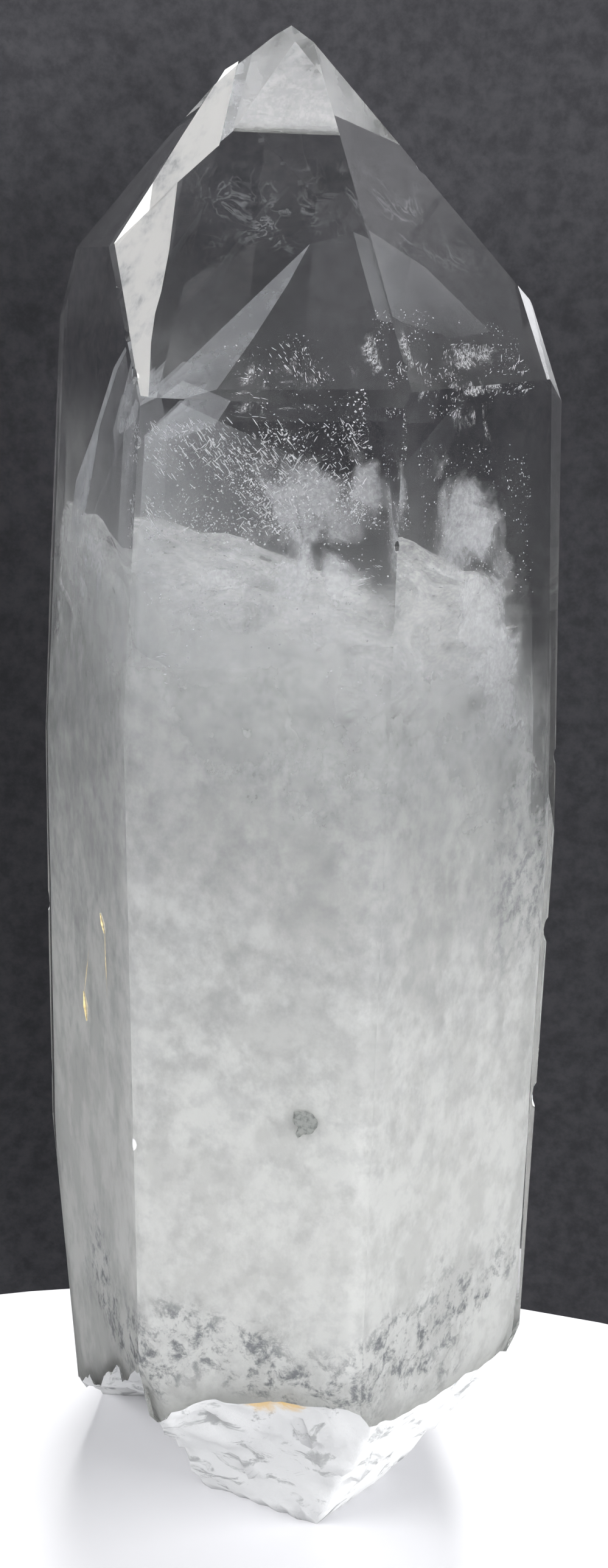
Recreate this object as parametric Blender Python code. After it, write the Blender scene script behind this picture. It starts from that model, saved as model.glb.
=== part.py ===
"""A natural quartz point with a phantom inside, standing on its broken base.

The crystal is one solid. A block is cut down face by face to the six-sided prism and its
pointed end, in the way that a crystal is bounded by its faces, and the lower end is then
broken away with a rough, stepped fracture. The crystal stands on the flat where the
fracture touches the table. Lengths are millimetres in the constants and metres in the mesh.

Each face is given by the way it looks (azimuth, in degrees from the front, positive to the
right), by the angle of its outward normal from the crystal's long axis, and by where it lies:
the prism faces by their distance from the axis at mid height, the end faces by the height
at which they would cross the axis.
"""

import math

import bmesh
import bpy
from mathutils import Matrix, Vector, noise

MM = 0.001

# Size of the block and the heights the faces are measured at
BLOCK_SIZE = 160.0
BLOCK_BOTTOM = -20.0
BLOCK_TOP = 300.0
MID_HEIGHT = 100.0

# The ideal end face of quartz stands at this angle to the long axis
RHOMBOHEDRON = 51.8

# Prism faces: azimuth, angle of the normal from the axis, distance from the axis at mid height.
# The left and rear-right faces are slightly bent, so each has an upper and a lower part.
PRISM_FACES = {
    "front": (-8.7, 87.1, 45.4),
    "right": (50.9, 87.9, 41.7),
    "left_upper": (-69.4, 86.5, 38.5),
    "left_lower": (-68.3, 90.3, 35.8),
    "rear_right_upper": (111.6, 85.7, 39.1),
    "rear_right_lower": (111.6, 90.7, 36.9),
    "rear_left_upper": (-128.3, 91.5, 42.2),
    "rear_left_lower": (-128.4, 89.6, 40.7),
    "rear": (167.6, 89.0, 25.0),
    "left_corner": (-98.4, 89.0, 44.1),
}

# End faces: azimuth, angle of the normal from the axis, height where the face meets the axis
END_FACES = {
    "front_end": (-8.8, 51.4, 244.8),
    "right_end": (49.7, 51.6, 244.7),
    "left_end": (-69.2, 53.1, 255.3),
    "rear_right_end": (111.6, 48.7, 242.6),
    "rear_left_end": (-129.4, 40.7, 248.4),
    "rear_left_tip": (-127.5, 48.6, 248.3),
    "rear_end": (167.6, RHOMBOHEDRON, 250.7),
    "bevel": (-26.4, 52.1, 248.5),
}

# The kite is the part of the bevel left of this edge, turned outwards about it
KITE_EDGE_TOP = Vector((-18.5, -13.8, 222.0))
KITE_EDGE_BOTTOM = Vector((-19.7, -37.7, 193.8))
KITE_TURN = 4.0

# Small shoulder facets: two points of the edge they share with the end face, and the azimuth
SHOULDER_FACETS = {
    "right_shoulder": (Vector((34.5, -4.3, 208.0)), Vector((36.9, -15.0, 197.0)), 74.0),
    "left_shoulder": (Vector((-32.6, 6.6, 217.8)), Vector((-35.7, 7.9, 214.8)), -98.0),
}

# The lower left side is broken off in one slanting face
LEFT_BREAK = (-100.0, 101.6, 53.2)

# Fracture under the crystal: a rough surface, given as a height over the table
FRACTURE_REACH = 60.0
FRACTURE_SPACING = 1.75
FRACTURE_FLOOR = -3.0
CUTTER_DEPTH = -45.0
FRONT_EDGE_Y = -24.4
FRONT_EDGE_TURN = -0.45
FRONT_SLOPE = 1.72
FRONT_SLOPE_CHANGE = 0.029
CORNER_EDGE = 27.0
CORNER_SLOPE = 1.9
RIGHT_EDGE_X = 22.5
RIGHT_SLOPE = 1.5
REAR_EDGE_Y = 10.0
REAR_SLOPE = 1.3
CHUNK_WALL_X = -12.0
CHUNK_WALL_SLOPE = 6.0
UNDERSIDE_HEIGHT = 45.2
UNDERSIDE_AT = (-20.1, -45.7)
UNDERSIDE_FALL = (-0.1, -0.93)

# Roughness of the fracture: stepped ledges and finer grain, faded out at the resting face
LEDGE_SIZE = 7.5
LEDGE_HEIGHT = 3.4
GRAIN_SIZE = 4.0
GRAIN_HEIGHT = 0.9
GRAIN_OCTAVES = 4
FADE_HEIGHT = 5.0

# Chips knocked out of the sharp edges: the two faces, height, radius of the scoop and its bite
CHIPS = (
    ("kite", "left_upper", 207.0, 2.2, 0.45),
    ("kite", "left_upper", 201.5, 1.6, 0.40),
    ("kite", "left_upper", 196.5, 2.6, 0.60),
    ("front", "left_upper", 188.0, 1.8, 0.35),
    ("front", "right", 176.0, 1.6, 0.30),
    ("front", "right", 120.0, 2.2, 0.35),
    ("front", "left_lower", 84.0, 2.0, 0.40),
    ("right", "rear_right_upper", 138.0, 2.4, 0.45),
    ("right", "rear_right_lower", 108.0, 3.6, 0.90),
    ("right", "rear_right_lower", 78.0, 4.2, 0.90),
    ("left_lower", "left_corner", 101.0, 3.4, 0.70),
    ("left_lower", "left_corner", 67.0, 4.6, 1.00),
    ("front_end", "right_end", 199.0, 1.5, 0.30),
    ("right_end", "rear_right_end", 226.0, 1.7, 0.30),
)
CHIP_SEGMENTS = 12
CHIP_RINGS = 8

CRYSTAL_COLOUR = (0.80, 0.81, 0.80, 1.0)
CRYSTAL_ROUGHNESS = 0.06
QUARTZ_IOR = 1.544


def clear_scene():
    """Removes every object that the file opened with."""
    for old in list(bpy.data.objects):
        bpy.data.objects.remove(old, do_unlink=True)


def new_collection(name):
    """Returns a new collection in the scene."""
    collection = bpy.data.collections.new(name)
    bpy.context.scene.collection.children.link(collection)
    return collection


def clear_quartz():
    """Returns the clear, slightly milky material of the crystal."""
    material = bpy.data.materials.new("clear_quartz")
    material.use_nodes = True
    shader = material.node_tree.nodes["Principled BSDF"]
    shader.inputs["Base Color"].default_value = CRYSTAL_COLOUR
    shader.inputs["Metallic"].default_value = 0.0
    shader.inputs["Roughness"].default_value = CRYSTAL_ROUGHNESS
    shader.inputs["Transmission Weight"].default_value = 1.0
    shader.inputs["IOR"].default_value = QUARTZ_IOR
    material.diffuse_color = CRYSTAL_COLOUR
    return material


def face_normal(azimuth, polar):
    """Returns the outward normal of a face that looks towards an azimuth, 0 being the front."""
    turn = math.radians(azimuth)
    lean = math.radians(polar)
    flat = math.sin(lean)
    return Vector((math.sin(turn) * flat, -math.cos(turn) * flat, math.cos(lean)))


def prism_plane(azimuth, polar, distance):
    """Returns a prism face as a point on it and its normal."""
    turn = math.radians(azimuth)
    point = Vector((math.sin(turn) * distance, -math.cos(turn) * distance, MID_HEIGHT))
    return point, face_normal(azimuth, polar)


def end_plane(azimuth, polar, axis_height):
    """Returns an end face as the point where it meets the axis and its normal."""
    return Vector((0.0, 0.0, axis_height)), face_normal(azimuth, polar)


def edge_plane(first, second, azimuth):
    """Returns the plane through an edge whose normal lies over an azimuth and points up."""
    turn = math.radians(azimuth)
    flat = Vector((math.sin(turn), -math.cos(turn), 0.0))
    edge = (second - first).normalized()
    normal = flat * edge.z - Vector((0.0, 0.0, 1.0)) * flat.dot(edge)
    if normal.z < 0.0:
        normal.negate()
    return first, normal.normalized()


def crystal_planes():
    """Returns every flat face of the crystal by name, as a point on it and its normal."""
    planes = {name: prism_plane(*face) for name, face in PRISM_FACES.items()}
    planes.update({name: end_plane(*face) for name, face in END_FACES.items()})
    planes["left_break"] = prism_plane(*LEFT_BREAK)
    for name, (first, second, azimuth) in SHOULDER_FACETS.items():
        planes[name] = edge_plane(first, second, azimuth)
    hinge = (KITE_EDGE_BOTTOM - KITE_EDGE_TOP).normalized()
    turned = Matrix.Rotation(math.radians(KITE_TURN), 3, hinge) @ planes["bevel"][1]
    planes["kite"] = (KITE_EDGE_TOP, turned)
    return planes


def edge_point(planes, first, second, height):
    """Returns the point at a height on the edge between two faces."""
    point_a, normal_a = planes[first]
    point_b, normal_b = planes[second]
    rows = Matrix((normal_a, normal_b, (0.0, 0.0, 1.0)))
    return rows.inverted() @ Vector((normal_a.dot(point_a), normal_b.dot(point_b), height))


def cut_flat(mesh, point, normal):
    """Cuts away what lies in front of a plane and closes the cut with one flat face."""
    everything = list(mesh.verts) + list(mesh.edges) + list(mesh.faces)
    cut = bmesh.ops.bisect_plane(
        mesh, geom=everything, plane_co=point * MM, plane_no=normal, dist=1e-7, clear_outer=True
    )
    rim = [item for item in cut["geom_cut"] if isinstance(item, bmesh.types.BMEdge)]
    if rim:
        bmesh.ops.edgeloop_fill(mesh, edges=rim)


def faceted_crystal(planes, material, collection):
    """Returns the crystal as the block that all its flat faces leave."""
    mesh = bmesh.new()
    bmesh.ops.create_cube(mesh, size=1.0)
    height = BLOCK_TOP - BLOCK_BOTTOM
    bmesh.ops.scale(mesh, vec=Vector((BLOCK_SIZE, BLOCK_SIZE, height)) * MM, verts=mesh.verts)
    lift = Vector((0.0, 0.0, (BLOCK_TOP + BLOCK_BOTTOM) / 2.0)) * MM
    bmesh.ops.translate(mesh, vec=lift, verts=mesh.verts)
    for point, normal in planes.values():
        cut_flat(mesh, point, normal)
    bmesh.ops.recalc_face_normals(mesh, faces=mesh.faces)
    data = bpy.data.meshes.new("quartz_crystal")
    mesh.to_mesh(data)
    mesh.free()
    crystal = bpy.data.objects.new("quartz_crystal", data)
    crystal.data.materials.append(material)
    collection.objects.link(crystal)
    return crystal


def fracture_height(x, y):
    """Returns the height over the table at which the break leaves the crystal's underside."""
    front_edge = FRONT_EDGE_Y + FRONT_EDGE_TURN * x
    front = (FRONT_SLOPE + FRONT_SLOPE_CHANGE * x) * (front_edge - y)
    corner = CORNER_SLOPE * ((x - y) / math.sqrt(2.0) - CORNER_EDGE)
    right = RIGHT_SLOPE * (x - RIGHT_EDGE_X)
    rear = REAR_SLOPE * (y - REAR_EDGE_Y)
    wall = CHUNK_WALL_SLOPE * (CHUNK_WALL_X - x)
    underside = UNDERSIDE_HEIGHT
    underside += UNDERSIDE_FALL[0] * (x - UNDERSIDE_AT[0]) + UNDERSIDE_FALL[1] * (y - UNDERSIDE_AT[1])
    height = max(front, corner, right, rear, min(wall, underside))
    if height <= 0.0:
        return FRACTURE_FLOOR
    place = Vector((x, y, height))
    cell = noise.voronoi(place / LEDGE_SIZE)[1][0]
    ledge = LEDGE_HEIGHT * noise.noise(cell * LEDGE_SIZE)
    grain = GRAIN_HEIGHT * noise.fractal(place / GRAIN_SIZE, 1.0, 2.0, GRAIN_OCTAVES)
    fade = min(1.0, height / FADE_HEIGHT)
    return height + fade * (ledge + grain)


def fracture_cutter(collection):
    """Returns the solid that the break takes away, its top being the rough underside."""
    mesh = bmesh.new()
    cells = round(2.0 * FRACTURE_REACH / FRACTURE_SPACING)
    bmesh.ops.create_grid(mesh, x_segments=cells, y_segments=cells, size=FRACTURE_REACH * MM)
    top = list(mesh.verts)
    below = bmesh.ops.extrude_face_region(mesh, geom=list(mesh.faces))["geom"]
    for vertex in top:
        vertex.co.z = CUTTER_DEPTH * MM
    for vertex in (item for item in below if isinstance(item, bmesh.types.BMVert)):
        vertex.co.z = fracture_height(vertex.co.x / MM, vertex.co.y / MM) * MM
    bmesh.ops.recalc_face_normals(mesh, faces=mesh.faces)
    return cutter_object("fracture_cutter", mesh, collection)


def chip_cutter(planes, collection):
    """Returns the scoops that chip the crystal's sharp edges, as one cutter."""
    mesh = bmesh.new()
    for first, second, height, radius, bite in CHIPS:
        outward = (planes[first][1] + planes[second][1]).normalized()
        centre = edge_point(planes, first, second, height) + outward * (radius - bite)
        place = Matrix.Translation(centre * MM)
        bmesh.ops.create_uvsphere(
            mesh, u_segments=CHIP_SEGMENTS, v_segments=CHIP_RINGS, radius=radius * MM, matrix=place
        )
    return cutter_object("chip_cutter", mesh, collection)


def cutter_object(name, mesh, collection):
    """Returns a cutter made from a bmesh, shown as wire and left out of the model."""
    data = bpy.data.meshes.new(name)
    mesh.to_mesh(data)
    mesh.free()
    cutter = bpy.data.objects.new(name, data)
    cutter.display_type = "WIRE"
    cutter.hide_render = True
    collection.objects.link(cutter)
    return cutter


def subtract(target, cutter):
    """Cuts one solid out of another and keeps the result as the target's mesh."""
    modifier = target.modifiers.new(cutter.name, "BOOLEAN")
    modifier.operation = "DIFFERENCE"
    modifier.solver = "EXACT"
    modifier.object = cutter
    bpy.context.view_layer.update()
    evaluated = target.evaluated_get(bpy.context.evaluated_depsgraph_get())
    data = bpy.data.meshes.new_from_object(evaluated)
    target.modifiers.clear()
    target.data = data


def level_the_foot(crystal):
    """Cuts the break off level with the table, which leaves the face the crystal rests on."""
    mesh = bmesh.new()
    mesh.from_mesh(crystal.data)
    cut_flat(mesh, Vector((0.0, 0.0, 0.0)), Vector((0.0, 0.0, -1.0)))
    bmesh.ops.recalc_face_normals(mesh, faces=mesh.faces)
    mesh.to_mesh(crystal.data)
    mesh.free()


def build_specimen():
    """Builds the crystal."""
    clear_scene()
    parts = new_collection("phantom_quartz_specimen")
    cutters = new_collection("cutters")
    planes = crystal_planes()
    crystal = faceted_crystal(planes, clear_quartz(), parts)
    subtract(crystal, fracture_cutter(cutters))
    subtract(crystal, chip_cutter(planes, cutters))
    level_the_foot(crystal)


build_specimen()
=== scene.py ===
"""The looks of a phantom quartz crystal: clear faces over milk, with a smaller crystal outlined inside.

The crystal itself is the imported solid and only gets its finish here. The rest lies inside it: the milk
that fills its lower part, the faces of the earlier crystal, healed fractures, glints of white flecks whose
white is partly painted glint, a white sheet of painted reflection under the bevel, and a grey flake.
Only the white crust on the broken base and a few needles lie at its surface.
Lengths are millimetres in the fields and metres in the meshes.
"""

import logging
import math
from dataclasses import dataclass, field
from enum import Enum

import bmesh
import bpy
import numpy as np
from mathutils import Matrix, Vector, noise


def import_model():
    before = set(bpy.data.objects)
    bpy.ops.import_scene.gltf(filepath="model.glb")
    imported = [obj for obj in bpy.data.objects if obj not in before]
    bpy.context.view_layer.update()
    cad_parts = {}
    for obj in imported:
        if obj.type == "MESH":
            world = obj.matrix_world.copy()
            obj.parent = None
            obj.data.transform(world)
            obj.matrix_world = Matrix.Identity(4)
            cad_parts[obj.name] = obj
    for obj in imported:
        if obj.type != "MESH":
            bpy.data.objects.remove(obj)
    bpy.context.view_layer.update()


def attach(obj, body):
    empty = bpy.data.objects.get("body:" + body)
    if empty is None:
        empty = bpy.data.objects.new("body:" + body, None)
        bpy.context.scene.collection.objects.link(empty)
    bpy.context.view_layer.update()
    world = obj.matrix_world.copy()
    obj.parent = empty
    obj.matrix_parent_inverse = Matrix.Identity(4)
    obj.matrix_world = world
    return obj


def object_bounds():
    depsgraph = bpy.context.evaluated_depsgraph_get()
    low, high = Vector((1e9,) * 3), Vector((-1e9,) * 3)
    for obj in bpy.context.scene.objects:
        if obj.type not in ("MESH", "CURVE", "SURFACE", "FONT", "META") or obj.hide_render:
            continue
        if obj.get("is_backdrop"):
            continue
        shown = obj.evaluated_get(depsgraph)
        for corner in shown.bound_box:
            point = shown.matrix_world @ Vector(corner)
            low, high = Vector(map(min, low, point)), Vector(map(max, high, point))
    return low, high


log = logging.getLogger("phantom_quartz")

MM = 0.001
QUARTZ_IOR = 1.544
NODE = "quartz_crystal"
BODY = "root"

PER_MM2 = 1e6
LEVEL_SLOPE = 1e-6

Socket = bpy.types.NodeSocket
Triple = tuple[float, float, float]
Colour = tuple[float, float, float]
Planes = dict[str, tuple[Vector, float]]


def placed_object(name: str, data: bpy.types.ID) -> bpy.types.Object:
    """Makes an object and links it to the scene.

    Args:
        name: the object's name.
        data: its mesh, light or camera.

    Returns:
        The new object.
    """
    placed = bpy.data.objects.new(name, data)
    bpy.context.scene.collection.objects.link(placed)
    return placed


class Zone(Enum):
    """The two kinds of growth face, which move inwards by different amounts in a younger crystal."""

    PRISM = "prism"
    END = "end"


@dataclass(frozen=True)
class GrowthFace:
    """One growth face of the crystal.

    Azimuth is in degrees from the front, positive to the right, and polar is the angle of the outward
    normal from the long axis. Reach is the distance from the axis at mid height for a prism face, and
    the height where the face crosses the axis for an end face.
    """

    zone: Zone
    azimuth: float
    polar: float
    reach: float

    def normal(self) -> Vector:
        """The outward unit normal."""
        turn, tilt = math.radians(self.azimuth), math.radians(self.polar)
        return Vector((math.sin(turn) * math.sin(tilt), -math.cos(turn) * math.sin(tilt), math.cos(tilt)))

    def distance(self, mid_height: float) -> float:
        """How far the face's plane lies from the origin along its normal, in mm.

        Args:
            mid_height: height in mm at which a prism face's reach is measured.

        Returns:
            The distance in mm.
        """
        if self.zone is Zone.END:
            return self.normal().z * self.reach
        turn = math.radians(self.azimuth)
        foot = Vector((math.sin(turn) * self.reach, -math.cos(turn) * self.reach, mid_height))
        return self.normal().dot(foot)


@dataclass(frozen=True)
class EdgeFace:
    """A small facet through an edge, given by two points of the edge and the azimuth it looks in."""

    first: Triple
    second: Triple
    azimuth: float

    def plane(self) -> tuple[Vector, float]:
        """Lays the facet's plane through its edge.

        Returns:
            The outward unit normal and the distance from the origin in mm.
        """
        turn = math.radians(self.azimuth)
        flat = Vector((math.sin(turn), -math.cos(turn), 0.0))
        first = Vector(self.first)
        edge = (Vector(self.second) - first).normalized()
        normal = flat * edge.z - Vector((0.0, 0.0, 1.0)) * flat.dot(edge)
        if normal.z < 0.0:
            normal.negate()
        normal.normalize()
        return normal, normal.dot(first)


@dataclass(frozen=True)
class Habit:
    """The faces that bound the crystal, and where their planes lie."""

    mid_height: float = 100.0
    kite_edge: tuple[Triple, ...] = ((-18.5, -13.8, 222.0), (-19.7, -37.7, 193.8))
    kite_turn: float = 4.0
    left_break: GrowthFace = GrowthFace(Zone.PRISM, -100.0, 101.6, 53.2)
    shoulders: dict[str, EdgeFace] = field(
        default_factory=lambda: {
            "right_shoulder": EdgeFace((34.5, -4.3, 208.0), (36.9, -15.0, 197.0), 74.0),
            "left_shoulder": EdgeFace((-32.6, 6.6, 217.8), (-35.7, 7.9, 214.8), -98.0),
        }
    )
    faces: dict[str, GrowthFace] = field(
        default_factory=lambda: {
            "front": GrowthFace(Zone.PRISM, -8.7, 87.1, 45.4),
            "right": GrowthFace(Zone.PRISM, 50.9, 87.9, 41.7),
            "left_upper": GrowthFace(Zone.PRISM, -69.4, 86.5, 38.5),
            "left_lower": GrowthFace(Zone.PRISM, -68.3, 90.3, 35.8),
            "rear_right_upper": GrowthFace(Zone.PRISM, 111.6, 85.7, 39.1),
            "rear_right_lower": GrowthFace(Zone.PRISM, 111.6, 90.7, 36.9),
            "rear_left_upper": GrowthFace(Zone.PRISM, -128.3, 91.5, 42.2),
            "rear_left_lower": GrowthFace(Zone.PRISM, -128.4, 89.6, 40.7),
            "rear": GrowthFace(Zone.PRISM, 167.6, 89.0, 25.0),
            "left_corner": GrowthFace(Zone.PRISM, -98.4, 89.0, 44.1),
            "front_end": GrowthFace(Zone.END, -8.8, 51.4, 244.8),
            "right_end": GrowthFace(Zone.END, 49.7, 51.6, 244.7),
            "left_end": GrowthFace(Zone.END, -69.2, 53.1, 255.3),
            "rear_right_end": GrowthFace(Zone.END, 111.6, 48.7, 242.6),
            "rear_left_end": GrowthFace(Zone.END, -129.4, 40.7, 248.4),
            "rear_left_tip": GrowthFace(Zone.END, -127.5, 48.6, 248.3),
            "rear_end": GrowthFace(Zone.END, 167.6, 51.8, 250.7),
            "bevel": GrowthFace(Zone.END, -26.4, 52.1, 248.5),
        }
    )

    def grown_planes(self) -> Planes:
        """The planes of the grown faces and of the small facets.

        Returns:
            Each plane's outward normal and its distance from the origin in mm, by name.
        """
        planes = {name: (face.normal(), face.distance(self.mid_height)) for name, face in self.faces.items()}
        top, bottom = (Vector(end) for end in self.kite_edge)
        turn = Matrix.Rotation(math.radians(self.kite_turn), 3, (bottom - top).normalized())
        kite = turn @ planes["bevel"][0]
        planes["kite"] = (kite, kite.dot(top))
        planes.update({name: face.plane() for name, face in self.shoulders.items()})
        return planes

    def planes(self) -> Planes:
        """The planes of every flat side, the flat break among them."""
        flat_break = (self.left_break.normal(), self.left_break.distance(self.mid_height))
        return {**self.grown_planes(), "left_break": flat_break}


@dataclass(frozen=True)
class PhotoCamera:
    """The photograph's view: a hand-held camera close to the crystal, a little above it and looking down."""

    across: float = 999.0
    down: float = 2576.0
    place: Triple = (2.85, -250.0, 208.08)
    pitch: float = 17.68
    roll: float = 1.96
    focal_pixels: float = 2540.0
    film: float = 36.0
    near: float = 0.01
    far: float = 20.0

    def axes(self) -> tuple[Vector, Vector, Vector]:
        """The way the camera is turned.

        Returns:
            The picture's right, its down and the way the camera looks, as unit vectors.
        """
        pitch, roll = math.radians(self.pitch), math.radians(self.roll)
        level = Vector((1.0, 0.0, 0.0))
        plumb = Vector((0.0, -math.sin(pitch), -math.cos(pitch)))
        ahead = Vector((0.0, math.cos(pitch), -math.sin(pitch)))
        return (
            level * math.cos(roll) - plumb * math.sin(roll),
            level * math.sin(roll) + plumb * math.cos(roll),
            ahead,
        )

    def ray(self, across: float, down: float) -> Vector:
        """The direction that a picture point looks in.

        Args:
            across: pixels from the picture's left edge.
            down: pixels from its top edge.

        Returns:
            The direction as a unit vector.
        """
        right, lower, ahead = self.axes()
        u = (across - self.across / 2) / self.focal_pixels
        v = (down - self.down / 2) / self.focal_pixels
        return (ahead + right * u + lower * v).normalized()

    def build(self) -> bpy.types.Object:
        """Makes the camera and sets it as the scene's own.

        Returns:
            The camera.
        """
        data = bpy.data.cameras.new("photo_camera")
        data.sensor_width = self.film
        data.lens = self.focal_pixels * self.film / self.down
        data.clip_start = self.near
        data.clip_end = self.far
        camera = placed_object("photo_camera", data)
        right, lower, ahead = self.axes()
        turn = Matrix((right, -lower, -ahead)).transposed().to_4x4()
        camera.matrix_world = Matrix.Translation(Vector(self.place) * MM) @ turn
        bpy.context.scene.camera = camera
        return camera


@dataclass(frozen=True)
class SightLines:
    """Finds where something inside the crystal lies from where it shows in the picture.

    A line of sight bends as it enters a face, so a thing that shows at a picture point lies on the
    bent line, at some depth below the face.
    """

    camera: PhotoCamera
    habit: Habit

    def bent(self, across: float, down: float) -> tuple[Vector, Vector]:
        """Bends the line of a picture point into the crystal.

        Args:
            across: pixels from the picture's left edge.
            down: pixels from its top edge.

        Returns:
            The place in mm where the line enters, and its direction inside.
        """
        start, way = Vector(self.camera.place), self.camera.ray(across, down)
        entry, facing = -1.0, Vector()
        for normal, distance in self.habit.planes().values():
            slope = normal.dot(way)
            if slope < -LEVEL_SLOPE:
                reached = (distance - normal.dot(start)) / slope
                if reached > entry:
                    entry, facing = reached, normal
        cosine, ratio = -way.dot(facing), 1.0 / QUARTZ_IOR
        inward = ratio * cosine - math.sqrt(1.0 - ratio**2 * (1.0 - cosine**2))
        return start + way * entry, way * ratio + facing * inward

    def point(self, across: float, down: float, depth: float) -> Vector:
        """The place at a depth in mm along the bent line of a picture point, in metres."""
        start, way = self.bent(across, down)
        return (start + way * depth) * MM

    def on_plane(self, across: float, down: float, face: str, inset: float) -> Vector:
        """Where the bent line of a picture point meets a face's plane moved in.

        Args:
            across: pixels from the picture's left edge.
            down: pixels from its top edge.
            face: the face's name.
            inset: how far its plane is moved in, in mm.

        Returns:
            The place in metres.
        """
        start, way = self.bent(across, down)
        normal, distance = self.habit.planes()[face]
        return (start + way * ((distance - inset - normal.dot(start)) / normal.dot(way))) * MM


class Shade:
    """A node tree being written, with short calls for the nodes that the finishes use."""

    columns = 9
    column_width = 220.0
    row_height = 260.0

    def __init__(self, tree: bpy.types.NodeTree) -> None:
        """Starts on a material's or a group's node tree."""
        self.tree = tree

    def node(self, kind: str, **settings: object) -> bpy.types.Node:
        """Adds a node of a type and sets its properties.

        Args:
            kind: the node's type.
            **settings: its properties by name.

        Returns:
            The node.
        """
        made = self.tree.nodes.new(kind)
        row, column = divmod(len(self.tree.nodes), self.columns)
        made.location = (self.column_width * column, -self.row_height * row)
        for name, value in settings.items():
            setattr(made, name, value)
        return made

    def feed(self, socket: Socket, value: object) -> None:
        """Links a socket to another one, or sets its plain value.

        Args:
            socket: the input.
            value: the other socket or the value.
        """
        if isinstance(value, bpy.types.NodeSocket):
            self.tree.links.new(value, socket)
        else:
            socket.default_value = value

    def math(self, operation: str, first: object, second: object = 0.0, clamp: bool = False) -> Socket:
        """One arithmetic step on two values.

        Args:
            operation: the Math node's operation.
            first: the first value or socket.
            second: the second value or socket.
            clamp: whether the result is held between 0 and 1.

        Returns:
            The socket of the result.
        """
        made = self.node("ShaderNodeMath", operation=operation, use_clamp=clamp)
        self.feed(made.inputs[0], first)
        self.feed(made.inputs[1], second)
        return made.outputs[0]

    def times(self, first: object, second: object) -> Socket:
        """The product of two values."""
        return self.math("MULTIPLY", first, second)

    def less(self, first: object, second: object) -> Socket:
        """The first value less the second."""
        return self.math("SUBTRACT", first, second)

    def plus(self, first: object, second: object) -> Socket:
        """The sum of two values."""
        return self.math("ADD", first, second)

    def vector(self, operation: str, first: object, second: object) -> bpy.types.Node:
        """One step on two vectors.

        Args:
            operation: the Vector Math node's operation.
            first: the first vector or socket.
            second: the second vector or socket.

        Returns:
            The node, whose output the caller picks.
        """
        made = self.node("ShaderNodeVectorMath", operation=operation)
        self.feed(made.inputs[0], first)
        self.feed(made.inputs[1], second)
        return made

    def parts(self, where: Socket) -> bpy.types.Node:
        """Takes coordinates apart.

        Args:
            where: the coordinates.

        Returns:
            The node with X, Y and Z out.
        """
        made = self.node("ShaderNodeSeparateXYZ")
        self.feed(made.inputs[0], where)
        return made

    def spread(
        self, value: object, low: object, high: object, to_low: object = 0.0, to_high: object = 1.0
    ) -> Socket:
        """Maps a range smoothly on to another one, and holds its ends.

        Args:
            value: what is mapped.
            low: the value that gives to_low.
            high: the value that gives to_high.
            to_low: the result at low.
            to_high: the result at high.

        Returns:
            The socket of the result.
        """
        made = self.node("ShaderNodeMapRange", interpolation_type="SMOOTHSTEP")
        ends = {"Value": value, "From Min": low, "From Max": high, "To Min": to_low, "To Max": to_high}
        for name, given in ends.items():
            self.feed(made.inputs[name], given)
        return made.outputs["Result"]

    def varied(self, tone: Socket, middle: float) -> Socket:
        """A value that wanders with a noise, up to three tenths to either side of its middle."""
        return self.spread(tone, 0.3, 0.7, middle * 0.7, middle * 1.3)

    def place(self) -> Socket:
        """Object coordinates in metres."""
        return self.node("ShaderNodeTexCoord").outputs["Object"]

    def attribute(self, name: str) -> Socket:
        """A number that the mesh holds at each point."""
        return self.node("ShaderNodeAttribute", attribute_name=name).outputs["Fac"]

    def stretched(self, where: Socket, scale: Triple, turn: Triple = (0.0, 0.0, 0.0)) -> Socket:
        """Coordinates turned and then scaled.

        Args:
            where: the coordinates.
            scale: the factor along each axis.
            turn: the angle about each axis in degrees.

        Returns:
            The socket of the new coordinates.
        """
        made = self.node("ShaderNodeMapping")
        self.feed(made.inputs["Vector"], where)
        made.inputs["Scale"].default_value = scale
        made.inputs["Rotation"].default_value = tuple(math.radians(angle) for angle in turn)
        return made.outputs["Vector"]

    def grain(
        self, where: Socket, scale: float, detail: float = 4.0, rough: float = 0.55, warp: float = 0.0
    ) -> Socket:
        """Fractal noise.

        Args:
            where: the coordinates.
            scale: features per metre.
            detail: how many finer layers are added.
            rough: how strong the finer layers are.
            warp: how much the noise is swirled.

        Returns:
            The socket of the noise.
        """
        made = self.node("ShaderNodeTexNoise")
        self.feed(made.inputs["Vector"], where)
        for name, size in {"Scale": scale, "Detail": detail, "Roughness": rough, "Distortion": warp}.items():
            made.inputs[name].default_value = size
        return made.outputs[0]

    def tint(self, factor: object, first: Colour | Socket, second: Colour | Socket) -> Socket:
        """Mixes two colours.

        Args:
            factor: how much of the second is in the mix.
            first: a colour or its socket.
            second: a colour or its socket.

        Returns:
            The socket of the mixed colour.
        """
        made = self.node("ShaderNodeMix", data_type="RGBA")
        self.feed(made.inputs[0], factor)
        for number, colour in ((6, first), (7, second)):
            plain = isinstance(colour, tuple)
            self.feed(made.inputs[number], (*colour, 1.0) if plain else colour)
        return made.outputs[2]

    def bump(self, height: Socket, strength: float, distance: float) -> Socket:
        """A normal from a height.

        Args:
            height: the height, in which 1 stands for the distance.
            strength: how much of it is used.
            distance: the distance in mm.

        Returns:
            The socket of the normal.
        """
        made = self.node("ShaderNodeBump")
        made.inputs["Strength"].default_value = strength
        made.inputs["Distance"].default_value = distance * MM
        self.feed(made.inputs["Height"], height)
        return made.outputs["Normal"]

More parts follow.
